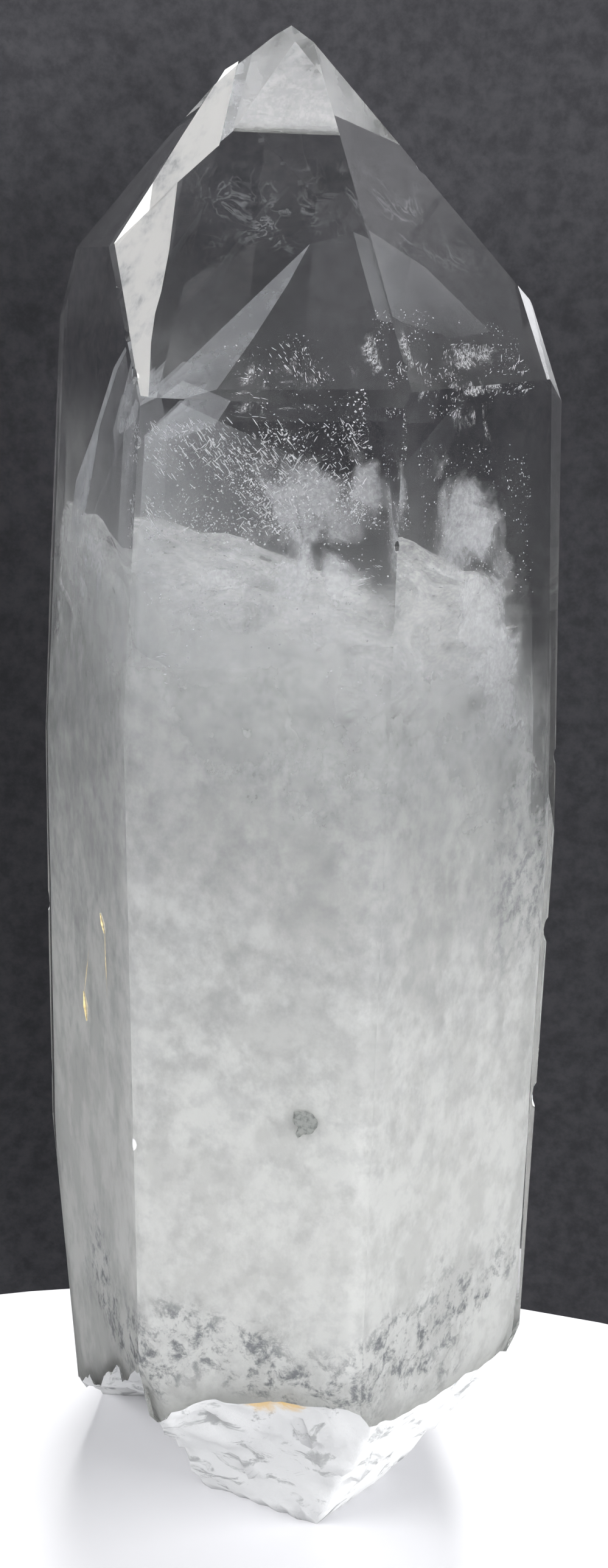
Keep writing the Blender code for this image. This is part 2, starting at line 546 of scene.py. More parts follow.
    def group(self, tree: bpy.types.NodeTree, **values: object) -> bpy.types.Node:
        """Places a group and feeds its inputs.

        Args:
            tree: the group's tree.
            **values: the inputs by name, with underscores for spaces.

        Returns:
            The group's node.
        """
        made = self.node("ShaderNodeGroup", node_tree=tree)
        for name, value in values.items():
            self.feed(made.inputs[name.replace("_", " ")], value)
        return made


def set_gloss(shader: bpy.types.Node, roughness: float, specular: float) -> None:
    """Sets a shader's even roughness and specular level."""
    shader.inputs["Roughness"].default_value = roughness
    shader.inputs["Specular IOR Level"].default_value = specular


def start_material(name: str) -> tuple[bpy.types.Material, Shade, bpy.types.Node]:
    """Makes a material that holds one Principled shader.

    Args:
        name: the material's name.

    Returns:
        The material, its tree ready for nodes, and the shader node.
    """
    material = bpy.data.materials.new(name)
    material.use_nodes = True
    material.node_tree.nodes.clear()
    shade = Shade(material.node_tree)
    output = shade.node("ShaderNodeOutputMaterial")
    shader = shade.node("ShaderNodeBsdfPrincipled")
    shade.feed(output.inputs["Surface"], shader.outputs["BSDF"])
    return material, shade, shader


def start_group(
    name: str, inputs: dict[str, float], outputs: dict[str, str]
) -> tuple[bpy.types.NodeTree, Shade, dict[str, Socket]]:
    """Makes a shader group with a vector input called Where.

    Args:
        name: the group's name.
        inputs: the float inputs with their starting values.
        outputs: the outputs with their socket types.

    Returns:
        The group's tree, the tree ready for nodes, and its input sockets by name.
    """
    tree = bpy.data.node_groups.new(name, "ShaderNodeTree")
    tree.interface.new_socket(name="Where", in_out="INPUT", socket_type="NodeSocketVector")
    for label, value in inputs.items():
        socket = tree.interface.new_socket(name=label, in_out="INPUT", socket_type="NodeSocketFloat")
        socket.default_value = value
    for label, kind in outputs.items():
        tree.interface.new_socket(name=label, in_out="OUTPUT", socket_type=kind)
    shade = Shade(tree)
    entry = shade.node("NodeGroupInput")
    return tree, shade, {socket.name: socket for socket in entry.outputs if socket.name}


def cloud_group() -> bpy.types.NodeTree:
    """Milk that fades out upwards through drifting patches, used by every cloudy finish.

    Returns:
        A group with Where, Top, Full, Drift, Lean and Patchiness in, and Veil and Pale out.
    """
    tree, shade, given = start_group(
        "milk_cloud",
        {"Top": 0.17, "Full": 0.12, "Drift": 0.02, "Lean": 0.0, "Patchiness": 0.5},
        {"Veil": "NodeSocketFloat", "Pale": "NodeSocketFloat"},
    )
    where = given["Where"]
    height = shade.parts(where)
    broad = shade.grain(where, 34.0, 2.0, 0.5)
    drift = shade.times(shade.less(broad, 0.5), given["Drift"])
    leaning = shade.times(height.outputs["X"], given["Lean"])
    lifted = shade.plus(height.outputs["Z"], shade.plus(leaning, shade.times(drift, 2.0)))
    rise = shade.spread(lifted, given["Top"], given["Full"])
    patches = shade.grain(shade.stretched(where, (1.0, 1.0, 0.75)), 95.0, 6.0, 0.66)
    cover = shade.spread(patches, 0.4, 0.6)
    open_part = shade.times(given["Patchiness"], shade.less(1.0, cover))
    thin = shade.times(open_part, shade.less(1.0, shade.times(rise, 0.75)))
    veil = shade.math("MULTIPLY", rise, shade.less(1.0, thin), clamp=True)
    exit_node = shade.node("NodeGroupOutput")
    shade.feed(exit_node.inputs["Veil"], veil)
    shade.feed(exit_node.inputs["Pale"], shade.grain(where, 260.0, 4.0, 0.65))
    return tree


def growth_group(habit: Habit, pointed_from: float = 185.0) -> bpy.types.NodeTree:
    """How far a surface point lies inside the prism faces, which tells a grown face from the break.

    Args:
        habit: the faces of the crystal.
        pointed_from: height in mm above which every side is a grown face.

    Returns:
        A group with Where in, and Depth out: the distance in metres to the nearest prism face's plane.
    """
    tree, shade, given = start_group("growth_faces", {}, {"Depth": "NodeSocketFloat"})
    nearest: Socket | None = None
    for name, (normal, distance) in habit.grown_planes().items():
        if name not in habit.faces or habit.faces[name].zone is not Zone.PRISM:
            continue
        along = shade.vector("DOT_PRODUCT", given["Where"], tuple(normal)).outputs["Value"]
        gap = shade.less(distance * MM, along)
        nearest = gap if nearest is None else shade.math("MINIMUM", nearest, gap)
    below = shade.math("LESS_THAN", shade.parts(given["Where"]).outputs["Z"], pointed_from * MM)
    exit_node = shade.node("NodeGroupOutput")
    shade.feed(exit_node.inputs["Depth"], shade.times(nearest, below))
    return tree


@dataclass(frozen=True)
class QuartzFinish:
    """Clear quartz: polished growth faces with faint growth lines, and a frosted, stained break."""

    growth: bpy.types.NodeTree
    face_roughness: float = 0.012
    break_roughness: float = 0.26
    line_scale: float = 420.0
    line_depth: float = 0.02
    line_share: float = 0.35
    sugar_scale: float = 900.0
    sugar_share: float = 6.0
    scuff_scale: float = 240.0
    scuff_roughness: float = 0.05
    break_from: float = 0.04
    break_full: float = 0.5
    bump_strength: float = 0.6

    def build(self) -> bpy.types.Material:
        """Makes the finish.

        Returns:
            The material of the crystal's surface.
        """
        material, shade, shader = start_material("clear_quartz")
        where = shade.place()
        faces = shade.group(self.growth, Where=where)
        broken = shade.spread(faces.outputs["Depth"], self.break_from * MM, self.break_full * MM)
        sugar = shade.grain(where, self.sugar_scale, 4.0)
        scuffing = shade.grain(shade.stretched(where, (1.0, 1.0, 3.0)), self.scuff_scale, 6.0, 0.7)
        scuffs = shade.spread(scuffing, 0.55, 0.75)
        smooth = shade.plus(self.face_roughness, shade.times(scuffs, self.scuff_roughness))
        mixed = shade.node("ShaderNodeMix", data_type="FLOAT")
        shade.feed(mixed.inputs[0], broken)
        shade.feed(mixed.inputs[2], smooth)
        shade.feed(mixed.inputs[3], shade.varied(sugar, self.break_roughness))
        shade.feed(shader.inputs["Roughness"], mixed.outputs[0])
        lines = shade.grain(shade.stretched(where, (0.12, 0.12, 1.0)), self.line_scale, 3.0, 0.6)
        ripple = shade.times(sugar, shade.times(broken, self.sugar_share))
        height = shade.plus(shade.times(lines, self.line_share), ripple)
        shade.feed(shader.inputs["Normal"], shade.bump(height, self.bump_strength, self.line_depth))
        shader.inputs["Base Color"].default_value = (1.0, 1.0, 1.0, 1.0)
        shader.inputs["Transmission Weight"].default_value = 1.0
        shader.inputs["IOR"].default_value = QUARTZ_IOR
        return material


@dataclass(frozen=True)
class MilkFinish:
    """The milk inside the crystal: a pale cloud that is dense below and thins out upwards.

    Heights and widths are in mm. Dark clear pockets show in a band over the broken base, between its
    foot and its top, and along the right side.
    """

    name: str
    cloud: bpy.types.NodeTree
    top: float
    full: float
    drift: float
    patchiness: float
    cover: float
    lean: float = 0.35
    grey_above: float = 178.0
    white_below: float = 60.0
    mottle: float = 0.25
    pocket: Colour = (0.3, 0.31, 0.33)
    dark: Colour = (0.56, 0.57, 0.575)
    light: Colour = (0.965, 0.975, 0.955)
    pocket_scale: float = 330.0
    band_uneven: float = 30.0
    band_foot: tuple[float, float] = (36.0, 44.0)
    band_top: tuple[float, float] = (60.0, 47.0)
    band_front: tuple[float, float] = (-4.0, -24.0)
    side_from: tuple[float, float] = (27.0, 37.0)
    side_above: tuple[float, float] = (92.0, 120.0)
    side_share: float = 0.8

    def build(self) -> bpy.types.Material:
        """Makes the finish.

        Returns:
            The material of one layer of milk.
        """
        material, shade, shader = start_material(self.name)
        where = shade.place()
        cloud = shade.group(
            self.cloud,
            Where=where,
            Top=self.top * MM,
            Full=self.full * MM,
            Drift=self.drift * MM,
            Lean=self.lean,
            Patchiness=self.patchiness,
        )
        height = shade.parts(where)
        denser = self.ramp(shade, height.outputs["Z"], (self.grey_above, self.white_below))
        mottle = shade.spread(cloud.outputs["Pale"], 0.3, 0.65, -self.mottle, self.mottle)
        tone = shade.math("ADD", denser, mottle, clamp=True)
        milk = shade.tint(tone, self.dark, self.light)
        pockets = self.pockets(shade, where, height)
        shade.feed(shader.inputs["Base Color"], shade.tint(pockets, milk, self.pocket))
        shade.feed(shader.inputs["Alpha"], shade.times(cloud.outputs["Veil"], self.cover))
        shade.feed(shader.inputs["Roughness"], shade.spread(tone, 0.0, 1.0, 0.95, 0.75))
        shader.inputs["Specular IOR Level"].default_value = 0.0
        return material

    def ramp(self, shade: Shade, value: Socket, ends: tuple[float, float]) -> Socket:
        """A smooth rise from 0 at the first of two places, in mm, to 1 at the second."""
        return shade.spread(value, ends[0] * MM, ends[1] * MM)

    def pockets(self, shade: Shade, where: Socket, height: bpy.types.Node) -> Socket:
        """Where the dark clear pockets show.

        Args:
            shade: the material's tree.
            where: the coordinates.
            height: the same coordinates taken apart.

        Returns:
            The socket of the mask.
        """
        spots = shade.spread(shade.grain(where, self.pocket_scale, 6.0, 0.75, 0.3), 0.46, 0.64)
        uneven = shade.times(shade.less(shade.grain(where, 60.0, 2.0), 0.5), self.band_uneven * MM)
        level = shade.plus(height.outputs["Z"], uneven)
        band = shade.times(self.ramp(shade, level, self.band_foot), self.ramp(shade, level, self.band_top))
        base = shade.times(band, self.ramp(shade, height.outputs["Y"], self.band_front))
        right = self.ramp(shade, height.outputs["X"], self.side_from)
        raised = self.ramp(shade, height.outputs["Z"], self.side_above)
        side = shade.times(shade.times(right, raised), self.side_share)
        return shade.times(spots, shade.math("MAXIMUM", base, side))


@dataclass(frozen=True)
class PhantomFinish:
    """The faces of the earlier crystal: a thin even dusting, as strong as the face's own attribute says."""

    cloud: bpy.types.NodeTree
    colour: Colour = (0.84, 0.86, 0.9)
    dull: Colour = (0.5, 0.52, 0.54)

    def build(self) -> bpy.types.Material:
        """Makes the finish.

        Returns:
            The material of the phantom's faces.
        """
        material, shade, shader = start_material("phantom_dust")
        where = shade.place()
        strength = shade.attribute("dusting")
        cloud = shade.group(self.cloud, Where=where, Top=0.4, Full=0.3, Drift=0.0, Patchiness=0.5)
        fine = shade.spread(cloud.outputs["Pale"], 0.25, 0.75, 0.75, 1.0)
        fade = shade.times(cloud.outputs["Veil"], fine)
        shade.feed(shader.inputs["Alpha"], shade.times(strength, fade))
        shade.feed(shader.inputs["Base Color"], shade.tint(fine, self.dull, self.colour))
        set_gloss(shader, 0.8, 0.0)
        return material


class WispForm(Enum):
    """What a healed fracture or a cloud looks like close up."""

    THREADS = "threads"
    CRUMBS = "crumbs"
    CLOUD = "cloud"


@dataclass(frozen=True)
class WispFinish:
    """White wisps along a curved sheet, as strong as the sheet's own rim attribute lets them be."""

    name: str
    form: WispForm
    scale: float
    threshold: float
    cover: float
    stretch: Triple = (1.0, 1.0, 1.0)
    turn: Triple = (0.0, 0.0, 0.0)
    colour: Colour = (0.9, 0.91, 0.94)
    dull: Colour = (0.82, 0.83, 0.85)
    ragged: float = 0.3
    finer: float = 14.0
    thread: tuple[float, float] = (0.035, 0.004)

    def build(self) -> bpy.types.Material:
        """Makes the finish.

        Returns:
            The material of one family of wisps.
        """
        material, shade, shader = start_material(self.name)
        where = shade.stretched(shade.place(), self.stretch, self.turn)
        rim = shade.attribute("rim")
        worn = shade.times(shade.less(1.0, rim), self.ragged)
        broad = shade.less(shade.grain(where, self.scale, 4.0, 0.62, 0.9), worn)
        fine = shade.spread(shade.grain(where, self.scale * self.finer, 2.0, 0.8), 0.36, 0.66)
        if self.form is WispForm.THREADS:
            threads = shade.spread(shade.math("ABSOLUTE", shade.less(broad, 0.5)), *self.thread)
            patch = self.above(shade, shade.grain(where, self.scale * 0.45, 2.0), 0.12)
            veil = shade.times(patch, shade.plus(threads, shade.times(fine, 0.18)))
        elif self.form is WispForm.CRUMBS:
            veil = shade.times(self.above(shade, broad, 0.14), fine)
        else:
            veil = shade.times(self.above(shade, broad, 0.2), shade.spread(fine, 0.0, 1.0, 0.8, 1.0))
        alpha = shade.math("MULTIPLY", shade.times(veil, rim), self.cover, clamp=True)
        shade.feed(shader.inputs["Alpha"], alpha)
        shade.feed(shader.inputs["Base Color"], shade.tint(fine, self.dull, self.colour))
        set_gloss(shader, 0.6, 0.3)
        return material

    def above(self, shade: Shade, value: Socket, ramp: float) -> Socket:
        """Where a noise passes the threshold, over a ramp of some width."""
        return shade.spread(value, self.threshold, self.threshold + ramp)


@dataclass(frozen=True)
class PaintedReflectionFinish:
    """Painted reflection: white with fine streaks down the face and a few thin spots, standing in for the
    milk seen by internal reflection.
    """

    white: Colour = (0.86, 0.855, 0.84)
    dull: Colour = (0.62, 0.63, 0.64)
    streak_scale: float = 420.0
    streak_tilt: float = 18.0
    patch_scale: float = 110.0
    cover: tuple[float, float] = (0.78, 0.97)

    def build(self) -> bpy.types.Material:
        """Makes the finish.

        Returns:
            The material of the frosted sheet.
        """
        material, shade, shader = start_material("white_frost")
        where = shade.place()
        along = shade.stretched(where, (1.0, 1.0, 0.3), (0.0, self.streak_tilt, 0.0))
        streaks = shade.grain(along, self.streak_scale, 5.0, 0.65)
        tone = shade.spread(shade.plus(streaks, shade.grain(where, self.patch_scale, 3.0)), 0.7, 1.1)
        shade.feed(shader.inputs["Base Color"], shade.tint(tone, self.dull, self.white))
        shade.feed(shader.inputs["Alpha"], shade.spread(tone, 0.0, 0.6, *self.cover))
        set_gloss(shader, 0.7, 0.2)
        return material


@dataclass(frozen=True)
class GlintFinish:
    """Bright mineral slivers and the walls of tiny hollows. Their flash comes partly from their gloss and
    partly from painted glint in their white.
    """

    name: str
    colour: Colour
    metallic: float
    roughness: float
    grain_scale: float = 1500.0
    darkening: float = 0.55

    def build(self) -> bpy.types.Material:
        """Makes the finish.

        Returns:
            The material of one kind of glint.
        """
        material, shade, shader = start_material(self.name)
        tone = shade.grain(shade.place(), self.grain_scale, 3.0)
        darker = tuple(self.darkening * part for part in self.colour)
        shade.feed(shader.inputs["Base Color"], shade.tint(shade.spread(tone, 0.3, 0.6), darker, self.colour))
        shade.feed(shader.inputs["Roughness"], shade.varied(tone, self.roughness))
        shader.inputs["Metallic"].default_value = self.metallic
        return material


@dataclass(frozen=True)
class BreakFinish:
    """The bruised crust on the broken base: white, sugary, with ochre in a few hollows.

    Each stain is a place with its reach, in mm.
    """

    white: Colour = (0.57, 0.575, 0.58)
    grey: Colour = (0.44, 0.45, 0.46)
    ochre: Colour = (0.55, 0.36, 0.12)
    stain_places: tuple[tuple[float, float, float, float], ...] = (
        (0.0, -48.2, 42.6, 4.6),
        (4.2, -48.6, 43.0, 3.6),
        (38.2, -22.2, 37.5, 3.0),
    )
    stain_ragged: float = 12.0
    patch_scale: float = 130.0
    grain_scale: float = 700.0
    grain_depth: float = 0.3

    def build(self) -> bpy.types.Material:
        """Makes the finish.

        Returns:
            The material of the crust.
        """
        material, shade, shader = start_material("bruised_break")
        where = shade.place()
        patches = shade.grain(where, self.patch_scale, 7.0, 0.65, 0.8)
        cover = shade.spread(patches, 0.36, 0.46, 0.55, 0.97)
        colour = shade.tint(shade.spread(patches, 0.34, 0.46), self.grey, self.white)
        uneven = shade.times(shade.less(patches, 0.5), self.stain_ragged * MM)
        for x, y, z, reach in self.stain_places:
            away = shade.vector("DISTANCE", where, (x * MM, y * MM, z * MM)).outputs["Value"]
            stain = shade.spread(shade.plus(away, uneven), reach * MM, reach * 0.35 * MM, 0.0, 0.8)
            colour = shade.tint(stain, colour, self.ochre)
        shade.feed(shader.inputs["Base Color"], colour)
        shade.feed(shader.inputs["Alpha"], cover)
        set_gloss(shader, 0.7, 0.2)
        height = shade.grain(where, self.grain_scale, 5.0, 0.7)
        shade.feed(shader.inputs["Normal"], shade.bump(height, 0.45, self.grain_depth))
        return material


def add_piece(
    name: str, mesh: bpy.types.Mesh, material: bpy.types.Material
) -> bpy.types.Object:
    """Puts a finished mesh in the scene as a piece of the crystal.

    Args:
        name: the piece's name.
        mesh: its mesh, with its place in it.
        material: its finish.

    Returns:
        The new object, riding on the crystal's body.
    """
    mesh.name = name
    mesh.materials.clear()
    mesh.materials.append(material)
    piece = placed_object(name, mesh)
    piece.visible_shadow = False  # the crystal's surface already stops every shadow ray on its way in
    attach(piece, BODY)
    log.info("%s: %d faces", name, len(mesh.polygons))
    return piece


def mesh_from(body: bmesh.types.BMesh, name: str, smooth: bool = False) -> bpy.types.Mesh:
    """Turns a bmesh into a mesh and frees it.

    Args:
        body: the bmesh, in metres.
        name: the mesh's name.
        smooth: whether its faces are shaded smoothly.

    Returns:
        The mesh.
    """
    mesh = bpy.data.meshes.new(name)
    body.to_mesh(mesh)
    body.free()
    mesh.polygons.foreach_set("use_smooth", [smooth] * len(mesh.polygons))
    return mesh


@dataclass
class Crystal:
    """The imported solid: its finish, and merged copies of its shape for what lies inside."""

    habit: Habit
    growth: bpy.types.NodeTree

    def node(self) -> bpy.types.Object:
        """The crystal's own object."""
        return bpy.data.objects[NODE]

    def dress(self) -> None:
        """Gives the crystal its quartz finish."""
        crystal = self.node()
        material = QuartzFinish(self.growth).build()
        crystal.data.materials.clear()
        crystal.data.materials.append(material)
        log.info("%s: dressed", crystal.name)

    def merged_copy(self) -> bmesh.types.BMesh:
        """A copy of the solid's mesh with its corners merged.

        Returns:
            The closed shape in metres.
        """
        body = bmesh.new()
        body.from_mesh(self.node().data)
        bmesh.ops.remove_doubles(body, verts=body.verts, dist=1e-6)
        bmesh.ops.recalc_face_normals(body, faces=body.faces[:])
        return body

    def rounded_copy(self, cell: float, passes: int) -> bpy.types.Mesh:
        """An even, slightly rounded copy of the solid.

        Args:
            cell: edge length of the new mesh in mm.
            passes: how often it is smoothed.

        Returns:
            The mesh in metres.
        """
        mesh = mesh_from(self.merged_copy(), "rounding")
        carrier = placed_object("rounding", mesh)
        remesh = carrier.modifiers.new("even", "REMESH")
        remesh.mode = "VOXEL"
        remesh.voxel_size = cell * MM
        soften = carrier.modifiers.new("soften", "SMOOTH")
        soften.iterations = passes
        soften.factor = 0.5
        graph = bpy.context.evaluated_depsgraph_get()
        result = bpy.data.meshes.new_from_object(carrier.evaluated_get(graph))
        bpy.data.objects.remove(carrier)
        bpy.data.meshes.remove(mesh)
        return result


@dataclass(frozen=True)
class MilkLayer:
    """One closed layer of milk: how far it is drawn in, and how dense and how high its cloud is."""

    name: str
    narrow: float
    rise: float
    shorten: float
    ripple: float
    top: float
    full: float
    drift: float
    patchiness: float
    cover: float


@dataclass(frozen=True)
class MilkBank:
    """One sloping sheet of cloud across the crystal: its height, waves, rise to the rear and cover."""

    height: float
    wave: float
    lean: float
    cover: float


@dataclass
class MilkBanks:
    """Cloud banks one above the other, which close the milk's top where it is looked down upon."""

    habit: Habit
    inset: float = 2.5
    spokes: int = 48
    rings: int = 14
    axis: tuple[float, float] = (0.0, 2.0)
    sag: float = 2.0
    open_front: float = -44.0
    closed_back: float = -6.0
    fall_right: float = 0.03
    centre_cover: float = 0.9
    open_right: float = 32.0
    fade_right: float = 20.0
    least_right: float = 0.1
    swell_scale: float = 0.045
    ripple_scale: float = 0.13
    ripple_share: float = 0.35
    banks: tuple[MilkBank, ...] = (
        MilkBank(162.0, 5.0, 0.40, 0.55),
        MilkBank(158.0, 5.0, 0.42, 0.85),
        MilkBank(153.0, 4.0, 0.42, 1.0),
        MilkBank(145.0, 4.0, 0.40, 1.0),
    )

    def build(self) -> bpy.types.Object:
        """Makes every bank as one mesh with a rim attribute that holds its cover.

        Returns:
            The banks' object.
        """
        body = bmesh.new()
        cover = body.verts.layers.float.new("rim")
        for number, bank in enumerate(self.banks):
            middle = Vector((self.axis[0], self.axis[1], bank.height))
            centre = body.verts.new(self.waved(middle, bank, number, 0.0))
            centre[cover] = bank.cover * self.centre_cover
            rings = []
            for ring in range(1, self.rings + 1):
                share = ring / self.rings
                row = []
                for spoke in range(self.spokes):
                    angle = 2.0 * math.pi * spoke / self.spokes
                    way = Vector((math.cos(angle), math.sin(angle), 0.0))
                    spot = middle + way * self.reach(middle, way) * share
                    vertex = body.verts.new(self.waved(spot, bank, number, share))
                    vertex[cover] = bank.cover * self.thinned(spot, share)
                    row.append(vertex)
                rings.append(row)
            for spoke in range(self.spokes):
                after = (spoke + 1) % self.spokes
                body.faces.new((centre, rings[0][spoke], rings[0][after]))
                for inner, outer in zip(rings, rings[1:]):
                    body.faces.new((inner[spoke], outer[spoke], outer[after], inner[after]))
        finish = WispFinish(
            "milk_banks", WispForm.CLOUD, 60.0, 0.26, 1.0, colour=(0.97, 0.975, 0.965), ragged=0.22
        )
        return add_piece("milk_banks", mesh_from(body, "milk_banks", smooth=True), finish.build())

    def thinned(self, spot: Vector, share: float) -> float:
        """How much of its cover a bank keeps: none at the front, less on the right and at the rim.

        Args:
            spot: the point in mm.
            share: how far out it lies, from 0 in the middle to 1 at the rim.

        Returns:
            The share that is left, from 0 to 1.
        """
        behind = (spot.y - self.open_front) / (self.closed_back - self.open_front)
        leftward = (self.open_right - spot.x) / self.fade_right
        depth = min(1.0, max(0.0, behind)) * min(1.0, max(self.least_right, leftward))
        return min(1.0, (1.0 - share) * (4.0 + 6.0 * depth)) * depth

    def reach(self, middle: Vector, way: Vector) -> float:
        """How far the crystal's inside goes from a middle.

        Args:
            middle: the place in mm.
            way: the direction.

        Returns:
            The reach in mm.
        """
        farthest = 100.0
        for normal, distance in self.habit.grown_planes().values():
            slope = normal.dot(way)
            if slope > LEVEL_SLOPE:
                farthest = min(farthest, (distance - self.inset - normal.dot(middle)) / slope)
        return farthest

    def waved(self, spot: Vector, bank: MilkBank, number: int, share: float) -> Vector:
        """Lifts a point of a bank by its waves, its rise to the rear and the sag of its rim.

        Args:
            spot: the point in mm.
            bank: the bank it belongs to.
            number: the bank's number, which shifts its waves.
            share: how far out it lies, from 0 in the middle to 1 at the rim.

        Returns:
            The place in metres.
        """
        swell = noise.noise(spot * self.swell_scale + Vector((0.0, 0.0, number * 7.0)))
        ripple = noise.noise(spot * self.ripple_scale + Vector((number * 5.0, 0.0, 0.0)))
        lift = bank.wave * (swell + self.ripple_share * ripple) + bank.lean * (spot.y - self.axis[1])
        lift -= self.fall_right * spot.x + self.sag * share**2
        return (spot + Vector((0.0, 0.0, lift))) * MM


@dataclass
class MilkyBody:
    """The milk in the lower two thirds of the crystal, as layers one inside the other."""

    crystal: Crystal
    cloud: bpy.types.NodeTree
    cell: float = 2.6
    passes: int = 4
    axis: tuple[float, float] = (0.0, -8.0)
    foot: float = 1.5
    ripple_scale: float = 0.06
    ripple_shift: float = 17.0
    layers: tuple[MilkLayer, ...] = (
        MilkLayer("milk_skin", 0.965, 1.2, 0.985, 0.3, 190.0, 108.0, 16.0, 0.85, 0.8),
        MilkLayer("milk_middle", 0.86, 5.0, 0.90, 2.0, 184.0, 122.0, 28.0, 0.6, 0.9),
        MilkLayer("milk_heart", 0.66, 10.0, 0.74, 4.0, 182.0, 134.0, 26.0, 0.3, 1.0),
    )

    def build(self) -> list[bpy.types.Object]:
        """Makes every layer.

        Returns:
            The layers' objects, from the outermost in.
        """
        shape = self.crystal.rounded_copy(self.cell, self.passes)
        made = []
        for layer in self.layers:
            mesh = shape.copy()
            self.draw_in(mesh, layer)
            mesh.polygons.foreach_set("use_smooth", [True] * len(mesh.polygons))
            sizes = (layer.top, layer.full, layer.drift, layer.patchiness, layer.cover)
            finish = MilkFinish(layer.name, self.cloud, *sizes)
            made.append(add_piece(layer.name, mesh, finish.build()))
        bpy.data.meshes.remove(shape)
        return made

    def draw_in(self, mesh: bpy.types.Mesh, layer: MilkLayer) -> None:
        """Narrows and shortens a copy about the axis and ripples it softly.

        Args:
            mesh: the rounded copy, changed in place.
            layer: the layer's sizes.
        """
        points = np.empty(len(mesh.vertices) * 3)
        mesh.vertices.foreach_get("co", points)
        points = points.reshape(-1, 3) / MM
        x0, y0 = self.axis
        points[:, 0] = x0 + (points[:, 0] - x0) * layer.narrow
        points[:, 1] = y0 + (points[:, 1] - y0) * layer.narrow
        points[:, 2] = self.foot + layer.rise + points[:, 2] * layer.shorten
        for row in points:
            spot = Vector(row) * self.ripple_scale
            for axis in range(3):
                shift = Vector((0.0, 0.0, self.ripple_shift * axis))
                row[axis] += noise.noise(spot + shift) * layer.ripple
        mesh.vertices.foreach_set("co", (points * MM).ravel())
        mesh.update()


@dataclass(frozen=True)
class DustedFace:
    """One face of the earlier crystal: parallel to a face of the crystal and some mm below it.

    The outline is given by where its corners show in the picture. The dusting is its opacity at each
    corner, so that a face can fade out where nothing in the picture bounds it.
    """

    face: str
    inset: float
    outline: tuple[tuple[float, float], ...]
    dusting: tuple[float, ...]


@dataclass
class Phantom:
    """The earlier crystal outlined inside by the dust that settled on its faces."""

    sight: SightLines
    cloud: bpy.types.NodeTree
    faces: tuple[DustedFace, ...] = (
        DustedFace(
            "bevel",
            20.0,
            ((509, 401), (473, 467), (416, 556), (356, 640), (300, 655), (236, 655), (226, 640)),
            (0.34, 0.34, 0.34, 0.3, 0.3, 0.32, 0.32),
        ),
        DustedFace(
            "bevel",
            20.0,
            ((295, 658), (237, 716), (237, 760), (330, 700), (350, 658)),
            (0.3, 0.3, 0.1, 0.0, 0.1),
        ),
        DustedFace(
            "right_end",
            5.0,
            ((606, 378), (700, 440), (806, 545), (745, 556), (660, 529), (645, 520)),
            (0.2, 0.2, 0.1, 0.04, 0.16, 0.2),
        ),
        DustedFace(
            "front_end",
            17.1,
            ((509, 401), (473, 467), (416, 556), (356, 640), (640, 640), (640, 520), (600, 380)),
            (0.03, 0.03, 0.03, 0.04, 0.04, 0.03, 0.02),
        ),
        DustedFace(
            "front",
            14.0,
            ((297, 662), (238, 718), (215, 1100), (645, 1100), (600, 800), (420, 720)),
            (0.3, 0.32, 0.26, 0.0, 0.0, 0.1),
        ),
        DustedFace(
            "left_upper",
            7.0,
            (
                (206, 572), (188, 605), (160, 698), (127, 790), (119, 850), (112, 1100), (206, 1100),
                (214, 900), (222, 700),
            ),
            (0.22, 0.22, 0.22, 0.22, 0.2, 0.1, 0.1, 0.14, 0.16),
        ),
        DustedFace(
            "left_upper",
            6.9,
            (
                (206, 570), (187, 604), (158, 697), (125, 789), (117, 850), (111, 1000), (115, 1000),
                (122, 852), (131, 792), (164, 700), (193, 607), (208, 576),
            ),
            (0.4, 0.5, 0.55, 0.5, 0.4, 0.1, 0.1, 0.3, 0.4, 0.45, 0.4, 0.35),
        ),
    )

    def build(self) -> bpy.types.Object:
        """Makes the dusted faces.

        Returns:
            The phantom's object.
        """
        body = bmesh.new()
        strength = body.verts.layers.float.new("dusting")
        for dusted in self.faces:
            ring = []
            for (across, down), amount in zip(dusted.outline, dusted.dusting):
                vertex = body.verts.new(self.sight.on_plane(across, down, dusted.face, dusted.inset))
                vertex[strength] = amount
                ring.append(vertex)
            body.faces.new(ring)
        bmesh.ops.triangulate(body, faces=body.faces[:])
        bmesh.ops.subdivide_edges(body, edges=body.edges[:], cuts=3, use_grid_fill=True)
        return add_piece("phantom_faces", mesh_from(body, "phantom_faces"), PhantomFinish(self.cloud).build())


@dataclass
class BevelReflection:
    """The part of the bevel that shows white: a sheet a hair below its face, painted white for the milk that
    the bevel shows by internal reflection.
    """

    sight: SightLines
    below: float = 0.3
    strip: tuple[tuple[float, float], ...] = (
        (391, 99), (381, 146), (360, 239), (286, 305), (188, 402), (319, 192), (369, 113),
    )
    kite: tuple[tuple[float, float], ...] = (
        (292, 297), (278, 411), (265, 479), (255, 514), (248, 564), (246, 614), (244, 652), (231, 650),
        (226, 624), (219, 585), (208, 515), (199, 462), (188, 399),
    )

    def build(self) -> bpy.types.Object:
        """Makes the sheet in two parts, one for each facet of the bevel.

        Returns:
            The sheet's object.
        """
        body = bmesh.new()
        # painted reflection: the white sheet stands in for the lit milk seen in these facets by internal
        # reflection
        for face, outline in (("bevel", self.strip), ("kite", self.kite)):
            ring = [body.verts.new(self.sight.on_plane(*corner, face, self.below)) for corner in outline]
            body.faces.new(ring)
        bmesh.ops.triangulate(body, faces=body.faces[:])
        return add_piece("frosted_bevel", mesh_from(body, "frosted_bevel"), PaintedReflectionFinish().build())


@dataclass(frozen=True)
class Veil:
    """One curved sheet inside the crystal, given by where its four corners show in the picture.

    Each corner is a picture point with a depth in mm below the face it shows through, in order round
    the sheet. Bow is how far its middle stands off the flat, and crumple its small waves, in mm.
    """

    corners: tuple[Triple, ...]
    bow: float
    crumple: float


